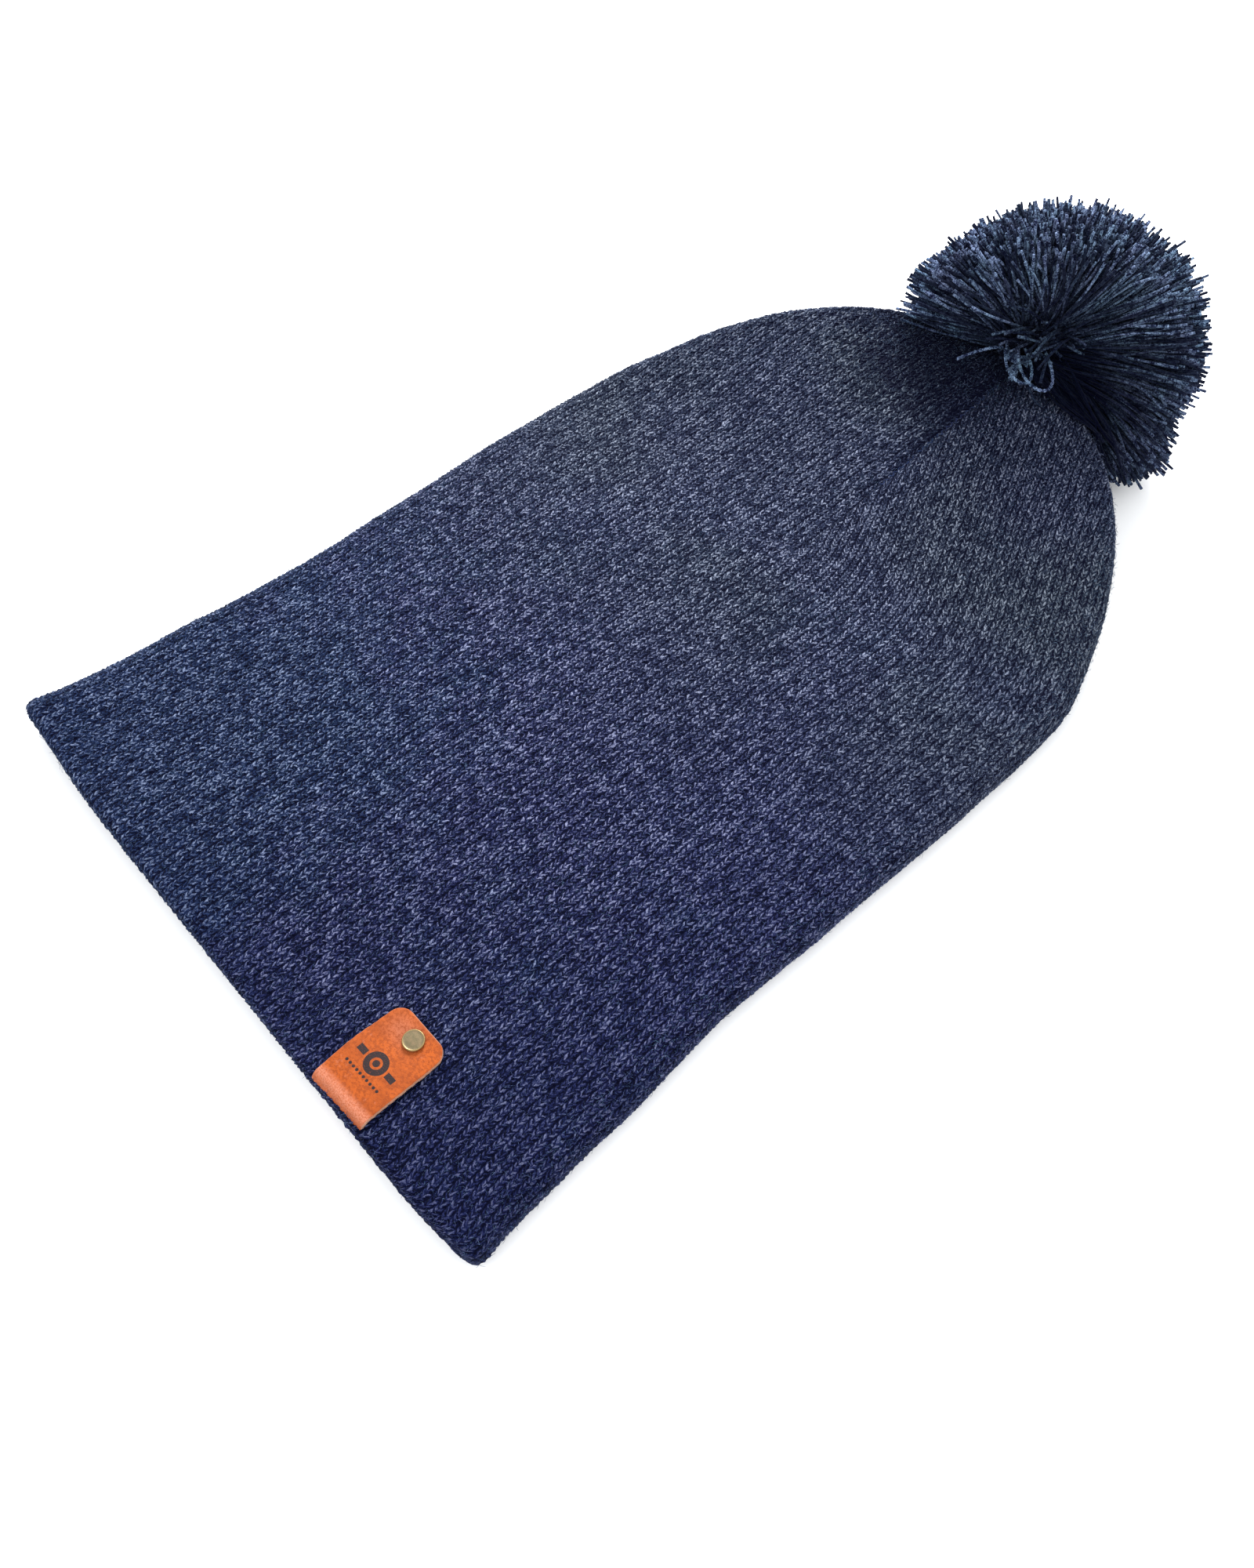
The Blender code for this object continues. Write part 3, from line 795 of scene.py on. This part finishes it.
def slivers(name, paths, thickness, material, seed):
    spread = np.random.RandomState(seed).uniform(0.8, 1.25, (len(paths), 1))
    radii = np.array([0.7, 1.0, 1.0, 0.8, 0.2]) * thickness * spread
    return tubes_object(name, paths, radii, 3, material, seed + 1)


def make_fuzz(points, normal, ring, material):
    """Fibre ends that stand off the knit, mostly on its upper face."""
    count = int(KNIT_FUZZ * DETAIL)
    rnd = np.random.RandomState(51)
    rows = rnd.randint(2, points.shape[0] - TIP_ROWS, count)
    seen = np.flatnonzero(ring.on_top)
    edge = seen[np.abs(ring.flat[seen]) > EDGE_FROM]
    anywhere = rnd.uniform(size=count) < 1 - EDGE_FUZZ
    columns = np.where(anywhere, rnd.choice(seen, count), rnd.choice(edge, count))
    along = unit(xyz(rnd.normal(0, 0.75, count), rnd.normal(0, 1.0, count), 0.0))
    paths = sliver_paths(points[rows, columns], normal[rows, columns], along, rnd)
    dress(slivers("knit_fuzz", paths, 0.042 * MM, material, 52), "hat")


# ---- the pom


def crown_top(points):
    """Height of the hat's upper surface under each point, and how far inside its outline the point is."""
    x, y = points[..., 0], points[..., 1]
    height = HALF_THICKNESS + cap_rise(y) + half_height(np.minimum(y, CAP_LENGTH))
    inside = half_width(np.minimum(y, CAP_LENGTH)) - np.abs(x)
    inside = np.minimum(inside, CAP_LENGTH - y)
    return height, inside


def clear_of_hat(paths, gap):
    """Lifts every point that would be in the crown on to its upper face, and keeps the yarn off the table."""
    top, inside = crown_top(paths)
    near = ease(inside, -2.5 * MM, 0.5 * MM)
    floor = gap[:, None] + (top + 0.5 * MM) * near
    lifted = paths.copy()
    lifted[..., 2] = np.maximum(paths[..., 2], floor)
    return lifted


def even_directions(count):
    step = np.arange(count) + 0.5
    tall = 1 - 2 * step / count
    turn = step * math.pi * (3 - math.sqrt(5))
    wide = np.sqrt(1 - tall * tall)
    return xyz(wide * np.cos(turn), wide * np.sin(turn), tall)


def comb(way, pole, gap, power):
    """Directions pushed away from a pole, so that none is left within the angle gap of it."""
    pole = unit(pole)
    towards = np.clip(way @ pole, -1, 1)
    angle = np.arccos(towards)
    combed = gap + (math.pi - gap) * (angle / math.pi) ** power
    sideways = unit(way - towards[:, None] * pole)
    return np.cos(combed)[:, None] * pole + np.sin(combed)[:, None] * sideways


def parted_directions(count, rnd):
    """Directions of the pom's strands: evenly spread, then parted wide at the tie and round the crown."""
    way = unit(even_directions(count) + rnd.normal(0, 0.05, (count, 3)))
    locks = unit(even_directions(LOCKS) + rnd.normal(0, 0.06, (LOCKS, 3)))
    way = unit(way + 0.36 * (locks[np.argmax(way @ locks.T, axis=1)] - way))
    ragged = rnd.normal(0, math.radians(5), count)
    closed = math.radians(14) * ease(way[:, 2], 0.2, 0.9) * ease(-way[:, 0], -0.2, 0.4)
    way = comb(way, OPENING, OPENING_ANGLE + ragged - closed, 1.5)
    left = ease(-way[:, 0], -0.1, 0.5)
    way = comb(way, CROWN_WAY, CROWN_ANGLE + CROWN_LEFT_ANGLE * left + ragged * 0.5, 1.7)
    opening = np.clip(way @ unit(OPENING), -1, 1)
    edge = bell(np.arccos(opening), OPENING_ANGLE, 0.35)
    kept = opening < np.cos(OPENING_ANGLE - math.radians(26))
    return way[kept], edge[kept]


def off_the_hat(paths):
    """The strands whose ends would not be inside the hat, far forward on the crown or flat under it."""
    tip = paths[:, -1]
    top, inside = crown_top(tip)
    over = inside > 1 * MM
    buried = over & (tip[:, 2] < top - 7 * MM)
    forward = over & (tip[:, 1] < 0.312) & (tip[:, 2] < top + 9 * MM)
    under_rim = (tip[:, 1] < 0.327) & (tip[:, 2] < 0.016) & (np.abs(tip[:, 0]) < 0.045)
    return paths[~(buried | forward | under_rim)]


def laid_on_hat(paths, rnd):
    gap = rnd.uniform(0.6, 2.4, len(paths)) * MM
    for _ in range(3):
        paths = clear_of_hat(paths, gap)
        paths[:, 1:-1] = paths[:, 1:-1] * 0.5 + (paths[:, :-2] + paths[:, 2:]) * 0.25
    return clear_of_hat(paths, gap)


def pom_strand_paths(count):
    rnd = np.random.RandomState(61)
    way, edge = parted_directions(count, rnd)
    count, edge = len(way), edge[:, None]
    way = unit(way + rnd.normal(0, 1, way.shape) * (0.02 + 0.06 * edge))

    reach = 1 / np.sqrt(np.sum((way / POM_AXES) ** 2, axis=1))
    reach = reach * (1 + 0.20 * bell(way @ unit(LOW_RIGHT), 1, 0.035))
    reach = reach * (1 + 0.13 * bell(way @ unit(OVER_CROWN), 1, 0.10))
    reach = reach * rnd.normal(0.955, 0.03, count) * (1 - 0.14 * edge[:, 0] * rnd.uniform(0, 1, count))
    stray = rnd.uniform(size=count) < 0.03 + 0.10 * ease(way[:, 2], 0.2, 0.8)
    reach = np.where(stray, reach * rnd.uniform(1.01, 1.08, count), reach)
    tip = POM_CENTRE + way * reach[:, None]

    root = POM_NECK + NECK_TO_HEART * rnd.uniform(0, 1, (count, 1))
    root = root + way * 3 * MM + rnd.normal(0, 1.3 * MM, way.shape)
    length = np.linalg.norm(tip - root, axis=1, keepdims=True)
    start = unit(tip - root) + unit(OPENING) * 0.22 * edge + rnd.normal(0, 0.12, way.shape)
    end = unit(way + rnd.normal(0, 1, way.shape) * (0.10 + 0.10 * edge) - np.array([0, 0, 0.05]))
    paths = bezier(root, root + start * length * 0.38, tip - end * length * 0.34, tip, STRAND_STEPS)

    share = np.linspace(0, 1, STRAND_STEPS)[None, :, None]
    wobble = unit(rnd.normal(0, 1, (count, 1, 3)))
    paths = paths + wobble * np.sin(share * rnd.uniform(4, 11, (count, 1, 1))) * 0.8 * MM * share
    return laid_on_hat(off_the_hat(paths), rnd)


def curl_paths(count):
    """Short strands that curl every way in the parting, where the pom is tied."""
    rnd = np.random.RandomState(64)
    facing = unit(unit(OPENING) + np.array([-0.45, 0.35, 0.60]) + rnd.normal(0, 0.38, (count, 3)))
    root = POM_NECK + NECK_TO_HEART * rnd.uniform(0.2, 1.6, (count, 1))
    root = root + rnd.normal(0, 2.5 * MM, (count, 3))
    length = rnd.uniform(7, 17, (count, 1)) * MM
    bow = unit(np.cross(facing, rnd.normal(0, 1, (count, 3)))) * length
    first = root + facing * length * 0.45 + bow * 0.25
    second = root + facing * length * 0.80 + bow * rnd.uniform(0.4, 0.9, (count, 1))
    last = root + facing * length * rnd.uniform(0.3, 0.8, (count, 1))
    last = last + bow * rnd.uniform(0.7, 1.2, (count, 1))
    return laid_on_hat(off_the_hat(bezier(root, first, second, last, STRAND_STEPS)), rnd)


def turned(points, axis, angle):
    """Points turned about an axis through the tie's pivot."""
    turn = np.array(Matrix.Rotation(angle, 3, axis))
    return (points - TIE_PIVOT) @ turn.T + TIE_PIVOT


def rests_on_crown(paths):
    """True for the strands that lie on the crown, which the hat would cut through as the pom lifts."""
    lifted = turned(paths, "X", LIFT_LIMIT)
    top, inside = crown_top(lifted)
    return np.any((inside > 0) & (lifted[..., 2] < top + 1.0 * MM) & (lifted[..., 2] > 0), axis=1)


def beside_crown(paths):
    """True for the strands that hang beside the crown, which the hat would cut through as the pom twists."""
    meets = np.zeros(len(paths), bool)
    for share in (-1.0, -0.5, 0.5, 1.0):
        twisted = turned(paths, "Z", share * TWIST_LIMIT)
        top, inside = crown_top(twisted)
        meets |= np.any((inside > -0.5 * MM) & (twisted[..., 2] < top + 0.6 * MM), axis=1)
    return meets


def strand_radii(count, steps, seed):
    rnd = np.random.RandomState(seed)
    shape = np.interp(np.linspace(0, 1, steps), [0, 0.3, 0.8, 1], [0.32, 0.38, 0.44, 0.46])
    return shape[None, :] * rnd.uniform(0.85, 1.15, (count, 1)) * MM


def open_air(paths):
    """How freely light reaches each point of the strands. Little of it gets under the pom, at the crown's
    right.
    """
    beside = ease(crown_top(paths)[1], -24 * MM, -4 * MM) * ease(paths[..., 0], 6 * MM, 16 * MM)
    low = ease(-paths[..., 2], -58 * MM, -30 * MM)
    turned_away = ease(unit(paths - POM_CENTRE) @ unit(SHADED_WAY), -0.1, 0.8)
    return (1 - 0.72 * beside * low) * (1 - 0.45 * turned_away)


def make_pom_fuzz(strands, material):
    """Fibre ends that stand off the pom's strands."""
    rnd = np.random.RandomState(65)
    count = int(POM_FUZZ * DETAIL)
    chosen = strands[rnd.randint(0, len(strands), count)]
    step = rnd.randint(5, STRAND_STEPS - 1, count)
    each = np.arange(count)
    root, ahead = chosen[each, step], chosen[each, step + 1]
    along = unit(unit(ahead - root) + rnd.normal(0, 0.45, root.shape))
    out = unit(np.cross(along, rnd.normal(0, 1, root.shape)))
    paths = sliver_paths(root + out * 0.4 * MM, out, along, rnd)
    dress(slivers("pom_fuzz", paths, 0.045 * MM, material, 66), "pom")


def by_tie(x, y):
    """A point of the frame beside the tie's pivot."""
    return (TIE_PIVOT[0] + x, BRIM_Y + TIE_PIVOT[1] + y, TIE_PIVOT[2])


def make_pom(material, fibres):
    """The pom in four parts: one that moves with it, one that lies on the crown, and one down each
    side.
    """
    paths = pom_strand_paths(int(POM_STRANDS * (1)))
    curls = curl_paths(CURLS)
    air = np.concatenate([open_air(paths), np.full(curls.shape[:2], CURL_AIR)])
    paths = np.concatenate([paths, curls])
    resting = rests_on_crown(paths)
    hanging = beside_crown(paths) & ~resting
    left = paths[:, -1, 0] < TIE_PIVOT[0]
    parts = {
        "pom_strands": ~(resting | hanging),
        "pom_skirt": resting,
        "pom_side_left": hanging & left,
        "pom_side_right": hanging & ~left,
    }
    for name, part in parts.items():
        chosen = paths[part]
        radii = strand_radii(len(chosen), chosen.shape[1], 62)
        piece = tubes_object(
            name, chosen, radii, 5, material, seed=63, lobes=PLY_LOBES, twist=1900.0, openness=air[part],
        )
        if name == "pom_strands":
            dress(piece, "pom", "pom_yarn")
            make_pom_fuzz(chosen, fibres)
            continue
        if name == "pom_skirt":
            by_tie(0, -23 * MM)
            by_tie(0, 5 * MM)
            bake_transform(piece)
        else:
            out = (-1 if name == "pom_side_left" else 1) * MM
            by_tie(36 * out, 0)
            by_tie(8 * out, 0)
            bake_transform(piece)


# ---- the crown's seams


def seam_path(side, steps):
    """A line along one of the crown's four darts, sunk into the valley it pulls in the knit."""
    y = np.linspace(SEAM_FROM + 0.008, SEAM_TO - 0.002, steps)
    sunk = 0.65 * MM + 0.4 * MM * ease(y, SEAM_FROM, SEAM_FROM + 0.03)
    if side in ("top", "bottom"):
        sunk = sunk + 0.6 * MM * ease(y, SEAM_FROM, SEAM_TO)
    zigzag = 0.45 * MM * np.sin(y / (1.1 * MM) * math.pi)
    middle = HALF_THICKNESS + cap_rise(y)
    if side in ("top", "bottom"):
        up = 1 if side == "top" else -1
        points = xyz(seam_x(y) + zigzag, y, middle + up * (half_height(y) - sunk))
    else:
        right = 1 if side == "right" else -1
        points = xyz(right * (half_width(y) - sunk), y, middle + zigzag)
    return settle(points)


def make_seams(material):
    for side in ("top", "bottom", "left", "right"):
        path = seam_path(side, 240)[None]
        radii = np.full(path.shape[:2], 0.30 * MM)
        name = "seam_thread_" + side
        thread = tubes_object(name, path, radii, 8, material, seed=71, lobes=0.2, twist=2600.0)
        dress(thread, "hat", "crown_seam_" + side)


# ---- the leather tag and its rivet


def strap_line(along):
    """The strap's middle line at a length from its fold, in front (+) and inside the hat (-), as
    (y, z, outward y, outward z).
    """
    quarter = FOLD_RADIUS * math.pi / 2
    angle = np.clip(along / FOLD_RADIUS, -math.pi / 2, math.pi / 2)
    flat = np.maximum(np.abs(along) - quarter, 0.0)
    y = FOLD_Y - FOLD_RADIUS * np.cos(angle) + flat
    z = FOLD_Z + FOLD_RADIUS * np.sin(angle)
    return y, z, -np.cos(angle), np.sin(angle)


def leather_swell(across, along):
    """How the front of the tag stands off the knit: full in the middle, drawn in under the rivet and
    lifted at its corners.
    """
    front = ease(along, 2 * MM, 8 * MM)
    rivet_along = RIVET_Y - FOLD_Y + FOLD_RADIUS * math.pi / 2
    from_rivet = np.hypot(across - (RIVET_X - TAG_X), along - rivet_along)
    drawn = -0.30 * MM * bell(from_rivet, 0, 4 * MM)
    full = 0.35 * MM * bell(along, 12 * MM, 6 * MM)
    corner = 0.35 * MM * ease(along, 20 * MM, 29 * MM) * ease(np.abs(across), 5 * MM, 10 * MM)
    uneven = 0.05 * MM * soft_noise(across, along, 5 * MM, 81)
    return front * (full + drawn + corner + uneven)


def make_tag(material):
    """One closed strip bent along the strap's line, with rounded corners and edges."""
    half_length = TAG_END_Y - FOLD_Y + FOLD_RADIUS * math.pi / 2
    near_end = half_length - TAG_CORNER * (1 - np.sin(np.linspace(0, 0.97, 16) * math.pi / 2))
    middle = np.linspace(-half_length + TAG_CORNER, half_length - TAG_CORNER, int(150 * DETAIL))[1:-1]
    along = np.concatenate([-near_end[::-1], middle, near_end])
    to_end = half_length - np.abs(along)
    corner = np.minimum(to_end, TAG_CORNER)
    half_width_here = TAG_HALF_WIDTH - TAG_CORNER + np.sqrt(TAG_CORNER ** 2 - (TAG_CORNER - corner) ** 2)
    rounding = np.minimum(to_end / TAG_EDGE, 1.0)
    half_thick = TAG_HALF_THICKNESS * np.sqrt(1 - (1 - rounding) ** 2)

    flat = np.linspace(-1, 1, 42)
    up = np.full(len(flat), math.pi / 2)
    turn = np.linspace(math.pi / 2, -math.pi / 2, 9)[1:-1]
    edge = np.ones(len(turn))
    sideways = np.concatenate([flat, edge, flat[::-1], -edge])
    angle = np.concatenate([up, turn, -up, turn - math.pi])
    run, side = along[:, None], sideways[None, :]
    cut = 0.11 * MM * soft_noise(run + 0.1 * side, run * 0, 0.9 * MM, 82)
    bulge = 0.5 * MM * bell(run, 15 * MM, 8 * MM) * ease(-side, 0.0, 1.0)
    across = side * (half_width_here[:, None] - TAG_EDGE) + np.cos(angle) * (TAG_EDGE + cut) - bulge
    swell = leather_swell(across, np.broadcast_to(run, across.shape))
    thick = np.sin(angle) * half_thick[:, None] + swell
    y, z, out_y, out_z = (line[:, None] for line in strap_line(along))
    skew = TAG_SKEW * (across / TAG_HALF_WIDTH + 1) / 2 * ease(TAG_END_Y - y, 5 * MM, 25 * MM)
    grid = xyz(TAG_X + across, y + out_y * thick + skew, z + out_z * thick)

    tag = tube_object("tag_strap", grid[::-1], material, caps=True)
    cut_edge = np.maximum(np.abs(np.cos(angle)), 1 - rounding[:, None])
    set_attribute(tag, "strap", xyz(across / MM, run / MM, cut_edge)[::-1])
    dress(tag, "hat", "leather_tag")


def lathe(name, profile, centre, steps, material):
    """A closed solid of revolution from (radius, height) pairs in millimetres, from the bottom up."""
    profile = np.array(profile) * MM
    angle = np.linspace(0, 2 * math.pi, steps, endpoint=False)
    x = centre[0] + profile[:, :1] * np.cos(angle)
    y = centre[1] + profile[:, :1] * np.sin(angle)
    return tube_object(name, xyz(x, y, centre[2] + profile[:, 1:]), material, caps=True)


def make_rivet(material):
    """A flat cap with a rolled rim on the front of the tag, and the base and post that hold it."""
    cap = [(2.2, -0.35), (2.80, -0.10), (2.97, 0.05), (3.03, 0.22), (3.02, 0.42), (2.95, 0.58), (2.84, 0.66)]
    cap += [(2.72, 0.66), (2.62, 0.60), (2.54, 0.57), (2.0, 0.60), (1.2, 0.63), (0.5, 0.65), (0.02, 0.65)]
    base = [(0.02, -1.0), (2.3, -1.0), (2.75, -0.85), (2.95, -0.55), (2.85, -0.25), (2.5, -0.05)]
    base += [(1.0, 0.0), (0.95, 1.5), (0.9, 5.9), (0.02, 6.0)]
    for name, node, profile, height in (
        ("rivet_face", "rivet_cap", cap, CAP_BASE),
        ("rivet_back", "rivet_base", base, BASE_TOP),
    ):
        rivet = lathe(name, profile, (RIVET_X, RIVET_Y, height), 72, material)
        dress(rivet, "hat", node)


# ---- the pom's tie


def yarn_line(name, points, radius, material, seed):
    """One plied yarn through a path of points."""
    path = points[None]
    radii = np.full(path.shape[:2], radius)
    return tubes_object(name, path, radii, 10, material, seed, lobes=PLY_LOBES, twist=2000.0)


def round_tie(reach, angle, z):
    return xyz(TIE_PIVOT[0] + reach * np.cos(angle), TIE_PIVOT[1] + reach * np.sin(angle), z)


def make_cord(material):
    """The cord that runs up from the knot, through the crown's tip, to the pom's neck."""
    low = HALF_THICKNESS + cap_rise(TIE_PIVOT[1]) + 2.4 * MM
    z = np.linspace(low, TIE_PIVOT[2] + 2.0 * MM, 40)
    bend = 0.25 * MM * np.sin((z - low) * 500)
    path = xyz(TIE_PIVOT[0] + bend, TIE_PIVOT[1] - bend, z)
    cord = yarn_line("tie_cord_yarn", path, 1.2 * MM, material, 91)
    dress(cord, "pom_tie", "tie_cord")


def make_knot(material):
    """The knot inside the crown that keeps the cord from pulling out."""
    t = np.linspace(0, 2 * math.pi, 150)
    reach = 1.8 * MM + 0.8 * MM * np.cos(3 * t)
    z = HALF_THICKNESS + cap_rise(TIE_PIVOT[1]) - 0.3 * MM + 0.9 * MM * np.sin(3 * t)
    knot = yarn_line("tie_knot_yarn", round_tie(reach, 2 * t, z), 0.70 * MM, material, 92)
    dress(knot, "pom_tie", "anchor_knot")


SHORTEST_CORD = 30 * MM


def make_tie_loops(material):
    """The ends of the tie: two loops that hang out of the parting over the crown, and one loose end. Each
    is a curve through four corners in millimetres.
    """
    for number, corners in enumerate((
        ((8, 317, 44), (20, 299, 40), (39, 311, 38), (14, 321, 45)),
        ((4, 317, 43), (12, 299, 40), (31, 309, 37), (9, 318, 44)),
        ((5, 317, 41), (2, 312, 43), (-3, 309, 39), (-7, 306, 35)),
    )):
        a, b, c, d = (np.array([corner]) * MM for corner in corners)
        path = bezier(a, b, c, d, 60)[0]
        loop = yarn_line("tie_loop_%d" % (number + 1), path, 0.50 * MM, material, 93 + number)
        dress(loop, "pom")
        length = float(np.sum(np.linalg.norm(np.diff(path, axis=0), axis=1)))
        if length > SHORTEST_CORD:
            placed = path + np.array([0.0, BRIM_Y, 0.0])


def make_binding(material):
    """Yarn wound five times round the pom's neck."""
    t = np.linspace(0, 1, 320)
    angle = 2 * math.pi * 5.2 * t
    reach = 4.4 * MM + 0.35 * MM * np.sin(angle * 0.37)
    z = 40.5 * MM + 1.1 * MM * np.sin(angle * 0.19 + 0.4)
    binding = yarn_line("pom_binding_yarn", round_tie(reach, angle, z), 0.55 * MM, material, 97)
    dress(binding, "pom", "pom_binding")


# ---- camera, light and floor


def make_camera():
    azimuth, elevation = math.radians(VIEW_AZIMUTH), math.radians(VIEW_ELEVATION)
    level = math.cos(elevation)
    back = Vector((math.sin(azimuth) * level, -math.cos(azimuth) * level, math.sin(elevation)))
    right = (-back).cross(Vector((0, 0, 1))).normalized()
    up = right.cross(-back)
    roll = math.radians(VIEW_ROLL)
    x_axis = right * math.cos(roll) + up * math.sin(roll)
    y_axis = up * math.cos(roll) - right * math.sin(roll)
    matrix = Matrix((x_axis, y_axis, back)).transposed().to_4x4()
    matrix.translation = VIEW_TARGET + back * VIEW_DISTANCE
    data = bpy.data.cameras.new("camera")
    data.sensor_width = SENSOR
    data.lens = FOCAL_SHARE * SENSOR
    data.clip_start = 0.01
    camera = bpy.data.objects.new("camera", data)
    camera.matrix_world = matrix
    bpy.context.scene.collection.objects.link(camera)
    bpy.context.scene.camera = camera


def make_light():
    world = bpy.data.worlds.new("studio")
    world.use_nodes = True
    world.node_tree.nodes["Background"].inputs["Color"].default_value = SKY
    world.node_tree.nodes["Background"].inputs["Strength"].default_value = SKY_STRENGTH
    bpy.context.scene.world = world
    bpy.context.scene.view_settings.view_transform = "Standard"
    for name, place, size, power in LAMPS:
        data = bpy.data.lights.new(name, "AREA")
        data.shape = "DISK"
        data.size = size
        data.energy = power
        lamp = bpy.data.objects.new(name, data)
        lamp.location = place
        lamp.rotation_euler = (-Vector(place)).to_track_quat("-Z", "Y").to_euler()
        bpy.context.scene.collection.objects.link(lamp)


def make_floor():
    n = Nodes("studio_floor")
    speck = n.noise(n.place(), 900.0, 2.0)
    n.surface(Base_Color=n.mix(speck, *FLOOR_TONES), Roughness=0.95, Specular_IOR_Level=0.1)
    corners = xyz(np.array([-1, 1, 1, -1]), np.array([-1, -1, 1, 1]), 0) * FLOOR_HALF_SIZE
    floor = add_mesh("studio_floor", corners + np.array([0, 0, FLOOR_Z]), [4], [0, 1, 2, 3], n.material)


# ---- the scene

make_camera()
make_light()
make_floor()
knit = knit_material("heather_knit")
shell_points, shell_normals, shell_ring = make_shell(knit)
make_lining(knit_material("lining_knit", flecks=0.8))
yarn = yarn_material("pom_yarn", 1.08, shade=0.85, root_shade=0.98)
fuzz_material = yarn_material("knit_fibres", 0.9, root_shade=0.4)
make_fuzz(shell_points, shell_normals, shell_ring, fuzz_material)
make_pom(yarn, fuzz_material)
make_seams(yarn_material("seam_yarn", 0.15))
make_tag(leather_material())
make_rivet(brass_material())
tie_yarn = yarn_material("tie_yarn", 1.4)
make_cord(tie_yarn)
make_knot(tie_yarn)
make_tie_loops(tie_yarn)
make_binding(tie_yarn)
